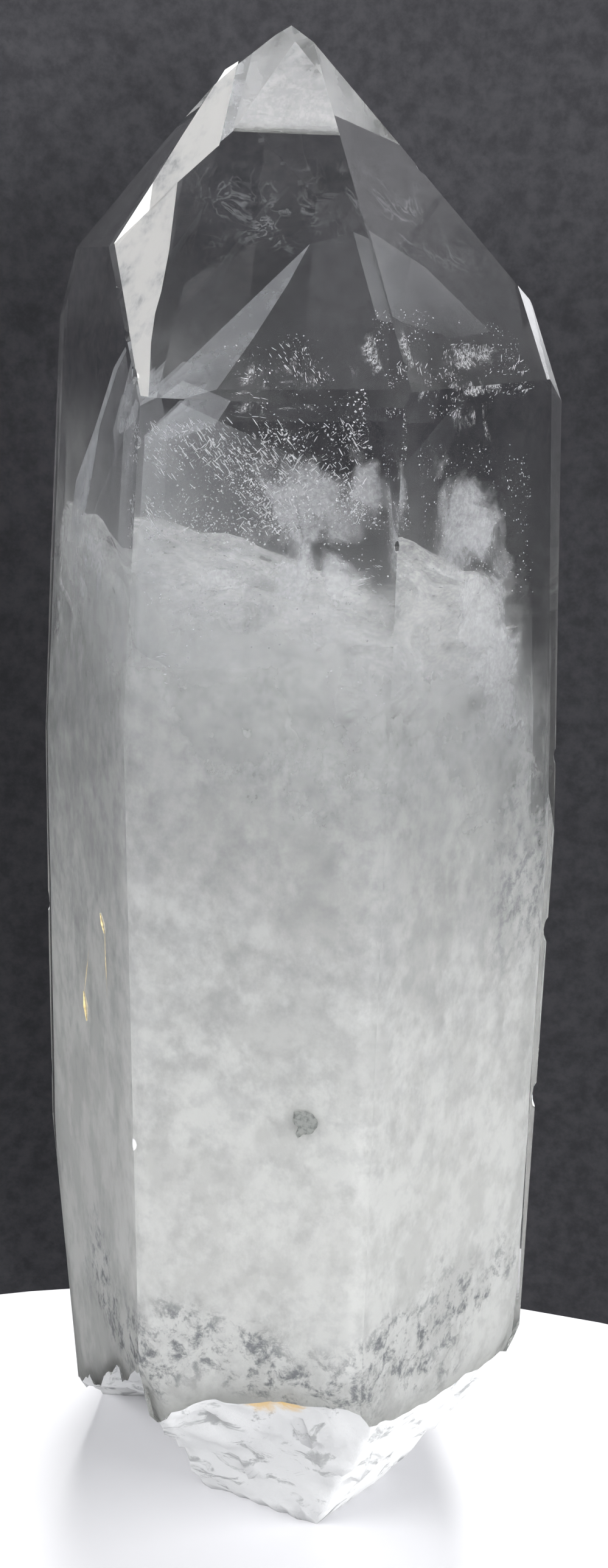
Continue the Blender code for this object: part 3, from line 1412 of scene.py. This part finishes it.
@dataclass
class HealedFractures:
    """The veils left by cracks that healed while the crystal grew."""

    sight: SightLines
    steps: int = 26
    crumple_scale: float = 90.0
    rim_rise: float = 1.3
    swirls: tuple[Veil, ...] = (
        Veil(((300, 265, 6), (570, 250, 10), (610, 420, 16), (330, 440, 12)), 5.0, 2.5),
        Veil(((575, 255, 6), (700, 290, 8), (830, 470, 10), (610, 430, 16)), 4.0, 2.0),
    )
    streaks: tuple[Veil, ...] = (
        Veil(((350, 560, 12), (520, 535, 16), (600, 660, 12), (340, 660, 9)), 4.0, 3.0),
        Veil(((560, 480, 12), (640, 500, 10), (660, 655, 12), (560, 650, 14)), 3.0, 2.0),
        Veil(((660, 540, 8), (850, 560, 10), (890, 630, 8), (670, 640, 12)), 3.0, 2.5),
        Veil(((720, 640, 8), (840, 640, 10), (830, 740, 10), (730, 760, 10)), 3.0, 2.0),
    )
    puffs: tuple[Veil, ...] = (
        Veil(((690, 700, 10), (860, 720, 9), (880, 980, 9), (680, 960, 11)), 3.0, 3.0),
        Veil(((700, 740, 16), (850, 740, 15), (860, 1000, 15), (690, 1000, 16)), 3.0, 3.0),
        Veil(((560, 690, 6), (650, 700, 6), (645, 900, 6), (540, 880, 6)), 1.5, 2.0),
        Veil(((230, 840, 7), (640, 850, 7), (635, 1060, 7), (225, 1060, 7)), 2.0, 3.0),
        Veil(((320, 680, 9), (645, 690, 9), (645, 1010, 8), (300, 1010, 8)), 2.0, 3.0),
        Veil(((420, 780, 6), (640, 760, 6), (640, 1080, 6), (380, 1080, 6)), 1.5, 2.0),
        Veil(((690, 840, 7), (885, 850, 7), (890, 1180, 6), (670, 1180, 7)), 2.0, 3.0),
        Veil(((760, 930, 4), (895, 940, 4), (898, 1300, 4), (740, 1300, 4)), 1.0, 1.5),
        Veil(((112, 780, 4), (205, 800, 5), (203, 1060, 5), (100, 1060, 4)), 1.0, 1.5),
    )

    def build(self) -> list[bpy.types.Object]:
        """Makes the three families of veils.

        Returns:
            One object for each family.
        """
        threads = WispFinish(
            "swirl_wisps", WispForm.THREADS, 210.0, 0.44, 0.2, colour=(0.82, 0.86, 0.93), ragged=0.0
        )
        crumbs = WispFinish(
            "streak_wisps", WispForm.CRUMBS, 230.0, 0.44, 0.8, (1.0, 1.0, 0.5), (0.0, 28.0, 0.0)
        )
        clouds = WispFinish("cloud_puffs", WispForm.CLOUD, 95.0, 0.34, 0.55)
        return [
            add_piece("veil_swirls", self.sheets(self.swirls, 3), threads.build()),
            add_piece("veil_streaks", self.sheets(self.streaks, 11), crumbs.build()),
            add_piece("veil_puffs", self.sheets(self.puffs, 17), clouds.build()),
        ]

    def sheets(self, veils: tuple[Veil, ...], seed: int) -> bpy.types.Mesh:
        """Makes several veils as one mesh with a rim attribute.

        Args:
            veils: the sheets.
            seed: shifts the crumpling.

        Returns:
            The mesh in metres.
        """
        body = bmesh.new()
        rim = body.verts.layers.float.new("rim")
        for number, veil in enumerate(veils):
            places = [self.sight.point(*corner) for corner in veil.corners]
            across = (places[1] - places[0]).cross(places[3] - places[0]).normalized()
            grid = []
            for j in range(self.steps + 1):
                v = j / self.steps
                for i in range(self.steps + 1):
                    u = i / self.steps
                    upper = places[0].lerp(places[1], u)
                    lower = places[3].lerp(places[2], u)
                    crown = 16.0 * u * (1.0 - u) * v * (1.0 - v)
                    spot = upper.lerp(lower, v)
                    wave = noise.noise(spot * self.crumple_scale + Vector((seed, number, 0.0)))
                    spot = spot + across * (veil.bow * crown + veil.crumple * wave) * MM
                    vertex = body.verts.new(spot)
                    edge = min(u, 1.0 - u, v, 1.0 - v) * 2.0
                    vertex[rim] = min(1.0, edge * self.rim_rise)
                    grid.append(vertex)
            row = self.steps + 1
            for j in range(self.steps):
                for i in range(self.steps):
                    a = j * row + i
                    body.faces.new((grid[a], grid[a + 1], grid[a + row + 1], grid[a + row]))
        return mesh_from(body, "veil", smooth=True)


class FleckShape(Enum):
    """The outlines that scattered flecks come in."""

    FLAKE = "flake"
    SLIVER = "sliver"


@dataclass(frozen=True)
class FleckTree:
    """A Geometry Nodes tree that scatters small flecks over carrier sheets."""

    shape: FleckShape
    material: bpy.types.Material

    def build(self) -> bpy.types.NodeTree:
        """Builds the tree.

        Returns:
            A tree with Geometry, Density, Size, Uneven, Patch, Sparse, Tumble, Turn, Fan and Seed in,
            and Geometry out.
        """
        tree = bpy.data.node_groups.new(f"scatter_{self.shape.value}", "GeometryNodeTree")
        tree.interface.new_socket(name="Geometry", in_out="INPUT", socket_type="NodeSocketGeometry")
        for label in ("Density", "Size", "Uneven", "Patch", "Sparse", "Tumble", "Turn", "Fan"):
            tree.interface.new_socket(name=label, in_out="INPUT", socket_type="NodeSocketFloat")
        tree.interface.new_socket(name="Seed", in_out="INPUT", socket_type="NodeSocketInt")
        tree.interface.new_socket(name="Geometry", in_out="OUTPUT", socket_type="NodeSocketGeometry")
        link = tree.links.new
        entry, leave = tree.nodes.new("NodeGroupInput"), tree.nodes.new("NodeGroupOutput")
        scatter = tree.nodes.new("GeometryNodeDistributePointsOnFaces")
        link(entry.outputs["Geometry"], scatter.inputs["Mesh"])
        link(self.patchy(tree, entry), scatter.inputs["Density"])
        link(entry.outputs["Seed"], scatter.inputs["Seed"])
        fleck = tree.nodes.new("GeometryNodeMeshIcoSphere")
        fleck.inputs["Radius"].default_value = 1.0
        fleck.inputs["Subdivisions"].default_value = 1
        flat = tree.nodes.new("GeometryNodeTransform")
        proportions = {FleckShape.FLAKE: (1.0, 0.7, 0.16), FleckShape.SLIVER: (3.0, 0.34, 0.2)}
        flat.inputs["Scale"].default_value = proportions[self.shape]
        link(fleck.outputs["Mesh"], flat.inputs["Geometry"])
        place = tree.nodes.new("GeometryNodeInstanceOnPoints")
        link(scatter.outputs["Points"], place.inputs["Points"])
        link(flat.outputs["Geometry"], place.inputs["Instance"])
        link(scatter.outputs["Rotation"], place.inputs["Rotation"])
        link(self.sized(tree, entry), place.inputs["Scale"])
        real = tree.nodes.new("GeometryNodeRealizeInstances")
        link(self.turned(tree, entry, place.outputs["Instances"]), real.inputs["Geometry"])
        dress = tree.nodes.new("GeometryNodeSetMaterial")
        dress.inputs["Material"].default_value = self.material
        link(real.outputs["Geometry"], dress.inputs["Geometry"])
        link(dress.outputs["Geometry"], leave.inputs["Geometry"])
        return tree

    def step(self, tree: bpy.types.NodeTree, operation: str, *values: object) -> Socket:
        """One arithmetic step on up to three values.

        Args:
            tree: the tree being built.
            operation: the Math node's operation.
            *values: plain values or sockets.

        Returns:
            The socket of the result.
        """
        made = tree.nodes.new("ShaderNodeMath")
        made.operation = operation
        for socket, value in zip(made.inputs, values):
            if isinstance(value, bpy.types.NodeSocket):
                tree.links.new(value, socket)
            else:
                socket.default_value = value
        return made.outputs[0]

    def patchy(self, tree: bpy.types.NodeTree, entry: bpy.types.Node) -> Socket:
        """The density in flecks per square metre, thick in some patches and thin between them.

        Args:
            tree: the tree being built.
            entry: its input node.

        Returns:
            The socket of the density.
        """
        cloud = tree.nodes.new("ShaderNodeTexNoise")
        tree.links.new(entry.outputs["Patch"], cloud.inputs["Scale"])
        cloud.inputs["Detail"].default_value = 4.0
        cloud.inputs["Roughness"].default_value = 0.6
        spread = tree.nodes.new("ShaderNodeMapRange")
        spread.interpolation_type = "SMOOTHSTEP"
        tree.links.new(cloud.outputs[0], spread.inputs["Value"])
        tree.links.new(entry.outputs["Sparse"], spread.inputs["From Min"])
        upper = self.step(tree, "ADD", entry.outputs["Sparse"], 0.14)
        tree.links.new(upper, spread.inputs["From Max"])
        return self.step(tree, "MULTIPLY", spread.outputs["Result"], entry.outputs["Density"])

    def sized(self, tree: bpy.types.NodeTree, entry: bpy.types.Node) -> Socket:
        """A random size for each fleck, mostly small with a few large ones.

        Args:
            tree: the tree being built.
            entry: its input node.

        Returns:
            The socket that holds the size in metres.
        """
        draw = tree.nodes.new("FunctionNodeRandomValue")
        tree.links.new(entry.outputs["Seed"], draw.inputs["Seed"])
        rare = self.step(tree, "POWER", draw.outputs[1], 4.0)
        spread = self.step(tree, "MULTIPLY_ADD", rare, entry.outputs["Uneven"], 0.4)
        return self.step(tree, "MULTIPLY", spread, entry.outputs["Size"])

    def turned(self, tree: bpy.types.NodeTree, entry: bpy.types.Node, flecks: Socket) -> Socket:
        """Tilts each fleck off its sheet at random, and turns it within the sheet by Turn give or take Fan.

        Args:
            tree: the tree being built.
            entry: its input node.
            flecks: the placed instances.

        Returns:
            The socket of the turned instances.
        """
        angles = tree.nodes.new("ShaderNodeCombineXYZ")
        for axis in range(3):
            draw = tree.nodes.new("FunctionNodeRandomValue")
            shifted = self.step(tree, "ADD", entry.outputs["Seed"], float(axis + 1))
            tree.links.new(shifted, draw.inputs["Seed"])
            draw.inputs[2].default_value = -1.0
            draw.inputs[3].default_value = 1.0
            reach = entry.outputs["Fan"] if axis == 2 else entry.outputs["Tumble"]
            base = entry.outputs["Turn"] if axis == 2 else 0.0
            tree.links.new(self.step(tree, "MULTIPLY_ADD", draw.outputs[1], reach, base), angles.inputs[axis])
        turn = tree.nodes.new("GeometryNodeRotateInstances")
        tree.links.new(flecks, turn.inputs["Instances"])
        tree.links.new(angles.outputs[0], turn.inputs["Rotation"])
        return turn.outputs["Instances"]


@dataclass(frozen=True)
class FleckField:
    """Flecks of one kind scattered over some veils."""

    name: str
    shape: FleckShape
    veils: tuple[Veil, ...]
    per_mm2: float
    size: float
    uneven: float
    seed: int
    patch: float = 150.0
    sparse: float = 0.5
    tumble: float = 0.8
    turn: float = 0.0
    fan: float = 3.1


@dataclass
class Glints:
    """The sparkle inside: tiny hollows and slivers along healed cracks and etched patches, as white flecks
    whose white is partly painted glint.
    """

    sight: SightLines
    fields: tuple[FleckField, ...] = (
        FleckField(
            "glints_etched_patch",
            FleckShape.FLAKE,
            (
                Veil(((240, 700, 9), (600, 670, 12), (640, 900, 10), (235, 890, 8)), 4.0, 4.0),
                Veil(((420, 700, 4), (600, 720, 5), (600, 860, 4), (440, 880, 4)), 2.0, 2.0),
            ),
            16.0, 0.085, 2.2, 5, patch=130.0, sparse=0.46,
        ),
        FleckField(
            "glints_upper_veils",
            FleckShape.FLAKE,
            (
                Veil(((360, 560, 14), (520, 540, 20), (570, 655, 14), (380, 660, 9)), 4.0, 3.0),
                Veil(((640, 500, 10), (860, 540, 12), (860, 650, 12), (640, 640, 16)), 4.0, 2.5),
                Veil(((690, 730, 10), (870, 730, 12), (880, 980, 12), (700, 950, 12)), 4.0, 2.5),
                Veil(((240, 900, 5), (640, 900, 6), (630, 1180, 6), (225, 1180, 5)), 2.0, 2.0),
            ),
            6.0, 0.075, 2.2, 9, patch=170.0, sparse=0.48,
        ),
        FleckField(
            "glints_etched_strokes",
            FleckShape.SLIVER,
            (
                Veil(((240, 690, 6), (590, 690, 7), (600, 880, 6), (240, 880, 5)), 2.0, 3.0),
                Veil(((370, 570, 12), (500, 560, 14), (560, 655, 12), (380, 655, 10)), 2.0, 3.0),
            ),
            7.0, 0.075, 3.0, 31, patch=120.0, sparse=0.47, tumble=0.35, turn=0.85, fan=0.25,
        ),
        FleckField(
            "glints_cross_strokes",
            FleckShape.SLIVER,
            (
                Veil(((300, 700, 6), (600, 700, 7), (610, 870, 6), (300, 880, 5)), 2.0, 3.0),
                Veil(((640, 560, 8), (850, 570, 9), (880, 640, 8), (650, 640, 10)), 2.0, 2.0),
            ),
            5.0, 0.075, 3.0, 47, patch=140.0, sparse=0.48, tumble=0.5, turn=-0.75, fan=0.4,
        ),
        FleckField(
            "glints_ticks",
            FleckShape.SLIVER,
            (
                Veil(((215, 1075, 3), (275, 1075, 3), (275, 1135, 3), (215, 1135, 3)), 0.0, 0.5),
                Veil(((588, 905, 5), (628, 905, 5), (628, 985, 6), (588, 985, 6)), 0.6, 0.6),
                Veil(((770, 2000, 3), (835, 2005, 3), (835, 2085, 3), (770, 2085, 3)), 0.0, 0.5),
            ),
            1.3, 0.17, 1.6, 21, patch=200.0, sparse=0.42, tumble=0.3, turn=0.1, fan=0.35,
        ),
    )

    def build(self) -> list[bpy.types.Object]:
        """Scatters every field of flecks.

        Returns:
            One object for each field.
        """
        carriers = HealedFractures(self.sight, steps=10)
        # painted glint: the flecks' bright white stands in for flashes of light, beside the real gloss of the
        # material
        material = GlintFinish("glint_white", (0.96, 0.97, 1.0), 0.25, 0.2).build()
        made = []
        for scattered in self.fields:
            sheet = placed_object("carrier", carriers.sheets(scattered.veils, scattered.seed))
            modifier = sheet.modifiers.new("scatter", "NODES")
            modifier.node_group = FleckTree(scattered.shape, material).build()
            sizes = {
                "Density": scattered.per_mm2 * PER_MM2,
                "Size": scattered.size * MM,
                "Uneven": scattered.uneven,
                "Patch": scattered.patch,
                "Sparse": scattered.sparse,
                "Tumble": scattered.tumble,
                "Turn": scattered.turn,
                "Fan": scattered.fan,
                "Seed": scattered.seed,
            }
            for item in modifier.node_group.interface.items_tree:
                if item.item_type == "SOCKET" and item.in_out == "INPUT" and item.name in sizes:
                    modifier[item.identifier] = sizes[item.name]
            graph = bpy.context.evaluated_depsgraph_get()
            mesh = bpy.data.meshes.new_from_object(sheet.evaluated_get(graph))
            sheet.modifiers.clear()
            bpy.data.objects.remove(sheet)
            made.append(add_piece(scattered.name, mesh, material))
        return made


@dataclass(frozen=True)
class Needle:
    """A thin straight needle between two picture points, each with its depth in mm."""

    start: Triple
    end: Triple
    width: float


@dataclass
class ForeignGrains:
    """What the crystal grew around: a few golden needles and one grey flake."""

    sight: SightLines
    needles: tuple[Needle, ...] = (
        Needle((165, 1500, -0.1), (172, 1534, -0.1), 0.5),
        Needle((172, 1534, 0.0), (176, 1640, 0.1), 0.2),
        Needle((138, 1628, -0.1), (143, 1677, -0.1), 0.65),
        Needle((146, 1560, 0.1), (139, 1628, 0.0), 0.2),
    )
    flake: Triple = (502.0, 1846.0, 0.6)
    flake_size: float = 1.9
    flake_thickness: float = 0.15
    flake_taper: float = 0.85
    flake_length: float = 1.15
    flake_chips: float = 0.55

    def build(self) -> list[bpy.types.Object]:
        """Makes the needles and the flake.

        Returns:
            The two objects.
        """
        gold = GlintFinish("gold_needles", (0.9, 0.72, 0.36), 0.0, 0.4).build()
        grey = GlintFinish("grey_flake", (0.5, 0.52, 0.5), 0.2, 0.5).build()
        body = bmesh.new()
        for needle in self.needles:
            ends = (self.sight.point(*needle.start), self.sight.point(*needle.end))
            self.add_needle(body, *ends, needle.width * MM)
        needles = add_piece("gold_needles", mesh_from(body, "gold_needles"), gold)
        flake = add_piece("grey_flake", self.flake_mesh(), grey)
        return [needles, flake]

    def add_needle(self, body: bmesh.types.BMesh, start: Vector, end: Vector, width: float) -> None:
        """Adds a slim double cone.

        Args:
            body: the bmesh that it is added to.
            start: its first end in metres.
            end: its second end in metres.
            width: its width in metres.
        """
        way = end - start
        turn = way.to_track_quat("Z", "Y").to_matrix().to_4x4()
        for middle, foot, head in ((0.25, 0.1, 0.5), (0.75, 0.5, 0.1)):
            bmesh.ops.create_cone(
                body,
                cap_ends=True,
                segments=6,
                radius1=width * foot,
                radius2=width * head,
                depth=way.length / 2,
                matrix=Matrix.Translation(start.lerp(end, middle)) @ turn,
            )

    def flake_mesh(self) -> bpy.types.Mesh:
        """Makes a squarish flake with chipped corners, facing the viewer.

        Returns:
            The mesh in metres.
        """
        body = bmesh.new()
        spot = self.sight.point(*self.flake)
        normal = self.sight.habit.faces["front"].normal()
        turn = normal.to_track_quat("Z", "Y").to_matrix().to_4x4()
        bmesh.ops.create_cone(
            body,
            cap_ends=True,
            segments=7,
            radius1=self.flake_size * MM,
            radius2=self.flake_size * self.flake_taper * MM,
            depth=self.flake_thickness * MM,
            matrix=Matrix.Translation(spot) @ turn @ Matrix.Diagonal((1.0, self.flake_length, 1.0, 1.0)),
        )
        bmesh.ops.subdivide_edges(body, edges=body.edges[:], cuts=2)
        for vertex in body.verts:
            vertex.co += (vertex.co - spot) * self.flake_chips * noise.noise(vertex.co * 900.0)
        return mesh_from(body, "grey_flake")


@dataclass
class BrokenSkin:
    """The bruised white crust, which stands a hair above the broken base.

    A face of the solid counts as grown when it lies within some mm of a growth face's plane, or above
    the highest break.
    """

    crystal: Crystal
    above: float = 0.04
    highest: float = 100.0
    grown_within: float = 0.05

    def build(self) -> bpy.types.Object:
        """Makes the crust from the broken faces of the crystal, and keeps it in the crystal's own box.

        Returns:
            The crust's object.
        """
        body = self.crystal.merged_copy()
        low = [min(vertex.co[axis] for vertex in body.verts) for axis in range(3)]
        high = [max(vertex.co[axis] for vertex in body.verts) for axis in range(3)]
        planes = [(normal, distance * MM) for normal, distance in self.crystal.habit.grown_planes().values()]
        grown = []
        for polygon in body.faces:
            middle = polygon.calc_center_median()
            nearest = min(distance - normal.dot(middle) for normal, distance in planes)
            on_face = nearest < self.grown_within * MM
            if on_face or middle.z > self.highest * MM:
                grown.append(polygon)
        bmesh.ops.delete(body, geom=grown, context="FACES")
        body.normal_update()
        for vertex in body.verts:
            vertex.co += vertex.normal * self.above * MM
            vertex.co = [min(max(vertex.co[axis], low[axis]), high[axis]) for axis in range(3)]
        mesh = mesh_from(body, "broken_skin", smooth=True)
        return add_piece("broken_skin", mesh, BreakFinish().build())


@dataclass(frozen=True)
class Lamp:
    """One soft area light, aimed at a point of the crystal."""

    name: str
    place: Triple
    target: Triple
    size: float
    watts: float
    colour: Colour = (1.0, 1.0, 1.0)

    def build(self) -> bpy.types.Object:
        """Makes the light.

        Returns:
            Its object.
        """
        data = bpy.data.lights.new(self.name, "AREA")
        data.shape = "DISK"
        data.size = self.size
        data.energy = self.watts
        data.color = self.colour
        lamp = placed_object(self.name, data)
        aim = (Vector(self.target) - Vector(self.place)).to_track_quat("-Z", "Y")
        lamp.matrix_world = Matrix.Translation(self.place) @ aim.to_matrix().to_4x4()
        return lamp


@dataclass
class Studio:
    """A pale floor, a plain dark backdrop that is only seen from inside, and soft light, in metres."""

    backdrop_middle: tuple[float, float] = (0.0, -0.23)
    backdrop_radius: float = 0.27
    backdrop_foot: float = -0.4
    backdrop_height: float = 0.36
    backdrop_upper: float = 0.7
    backdrop_turns: int = 96
    floor_size: float = 4.0
    floor_tones: tuple[Colour, Colour] = ((0.5, 0.5, 0.52), (0.55, 0.55, 0.57))
    wall_tones: tuple[Colour, Colour] = ((0.023, 0.023, 0.026), (0.038, 0.038, 0.042))
    sky: Colour = (0.93, 0.96, 1.0)
    sky_strength: float = 0.12
    lamps: tuple[Lamp, ...] = (
        Lamp("key", (-1.0, -0.5, 0.72), (0.0, 0.0, 0.12), 0.7, 23.0),
        Lamp("fill", (1.0, -0.45, 0.5), (0.0, 0.0, 0.1), 0.7, 21.0),
        Lamp("above", (0.05, 0.62, 0.88), (0.0, 0.0, 0.17), 0.55, 17.0),
        Lamp("low", (0.55, -0.95, 0.12), (0.0, -0.02, 0.02), 0.4, 8.0),
    )

    def build(self) -> None:
        """Makes the floor, the backdrop, the world and the lamps."""
        self.floor()
        self.backdrop()
        self.world()
        for lamp in self.lamps:
            lamp.build()

    def floor(self) -> bpy.types.Object:
        """Makes a pale, slightly glossy table top.

        Returns:
            Its object.
        """
        body = bmesh.new()
        bmesh.ops.create_grid(body, x_segments=8, y_segments=8, size=self.floor_size / 2)
        material, shade, shader = start_material("pale_table")
        tone = shade.grain(shade.place(), 9.0, 5.0)
        colour = shade.tint(shade.spread(tone, 0.3, 0.7), *self.floor_tones)
        shade.feed(shader.inputs["Base Color"], colour)
        shader.inputs["Roughness"].default_value = 0.35
        table = self.staged("table", mesh_from(body, "table"), material)
        table.visible_glossy = False
        return table

    def ring(self, name: str, low: float, high: float, material: bpy.types.Material) -> bpy.types.Object:
        """A ring of wall between two heights, facing inwards, that holds back no light.

        Args:
            name: the ring's name.
            low: height of its lower edge in metres.
            high: height of its upper edge in metres.
            material: its finish.

        Returns:
            The ring's object.
        """
        body = bmesh.new()
        rows = []
        for z in (low, high):
            row = []
            for step in range(self.backdrop_turns):
                angle = 2.0 * math.pi * step / self.backdrop_turns
                x = self.backdrop_middle[0] + self.backdrop_radius * math.cos(angle)
                y = self.backdrop_middle[1] + self.backdrop_radius * math.sin(angle)
                row.append(body.verts.new((x, y, z)))
            rows.append(row)
        for step in range(self.backdrop_turns):
            after = (step + 1) % self.backdrop_turns
            body.faces.new((rows[0][after], rows[0][step], rows[1][step], rows[1][after]))
        wall = self.staged(name, mesh_from(body, name, smooth=True), material)
        wall.visible_diffuse = False
        wall.visible_shadow = False
        return wall

    def backdrop(self) -> None:
        """A dark wall all round, clear when seen from outside; its upper part isn't mirrored in the faces."""
        material, shade, shader = start_material("dark_wall")
        tone = shade.grain(shade.place(), 300.0, 6.0, 0.7)
        colour = shade.tint(shade.spread(tone, 0.3, 0.7), *self.wall_tones)
        shade.feed(shader.inputs["Base Color"], colour)
        set_gloss(shader, 0.9, 0.1)
        clear = shade.node("ShaderNodeBsdfTransparent")
        side = shade.node("ShaderNodeNewGeometry")
        mix = shade.node("ShaderNodeMixShader")
        shade.feed(mix.inputs[0], side.outputs["Backfacing"])
        shade.feed(mix.inputs[1], shader.outputs["BSDF"])
        shade.feed(mix.inputs[2], clear.outputs["BSDF"])
        output = next(node for node in shade.tree.nodes if node.type == "OUTPUT_MATERIAL")
        shade.feed(output.inputs["Surface"], mix.outputs[0])
        self.ring("backdrop", self.backdrop_foot, self.backdrop_height, material)
        upper = self.ring("backdrop_upper", self.backdrop_height, self.backdrop_upper, material)
        upper.visible_glossy = False

    def world(self) -> None:
        """An even pale sky."""
        world = bpy.data.worlds.new("soft_sky")
        world.use_nodes = True
        background = world.node_tree.nodes["Background"]
        background.inputs["Color"].default_value = (*self.sky, 1.0)
        background.inputs["Strength"].default_value = self.sky_strength
        bpy.context.scene.world = world

    def staged(self, name: str, mesh: bpy.types.Mesh, material: bpy.types.Material) -> bpy.types.Object:
        """Puts a mesh in the scene as part of the stage.

        Args:
            name: the object's name.
            mesh: its mesh.
            material: its finish.

        Returns:
            The object.
        """
        mesh.materials.append(material)
        placed = placed_object(name, mesh)
        placed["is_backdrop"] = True
        return placed


def corners() -> list[list[float]]:
    """The whole object's lowest and highest corners as plain lists."""
    low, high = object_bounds()
    return [list(low), list(high)]


def tune_render_paths() -> None:
    """Lets light take enough turns through the clear crystal and its many veils."""
    cycles = bpy.context.scene.cycles
    cycles.max_bounces = 12
    cycles.transmission_bounces = 12
    cycles.glossy_bounces = 8
    cycles.diffuse_bounces = 4
    cycles.transparent_max_bounces = 64
    bpy.context.scene.view_settings.view_transform = "Standard"


def main() -> None:
    """Builds the stage, dresses the crystal and fills its inside."""
    logging.basicConfig(level=logging.INFO, format="%(message)s")
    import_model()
    habit = Habit()
    camera = PhotoCamera()
    camera.build()
    tune_render_paths()
    Studio().build()
    growth, cloud = growth_group(habit), cloud_group()
    crystal = Crystal(habit, growth)
    crystal.dress()
    sight = SightLines(camera, habit)
    BrokenSkin(crystal).build()
    MilkyBody(crystal, cloud).build()
    MilkBanks(habit).build()
    Phantom(sight, cloud).build()
    BevelReflection(sight).build()
    HealedFractures(sight).build()
    Glints(sight).build()
    ForeignGrains(sight).build()


if __name__ == "__main__":
    main()
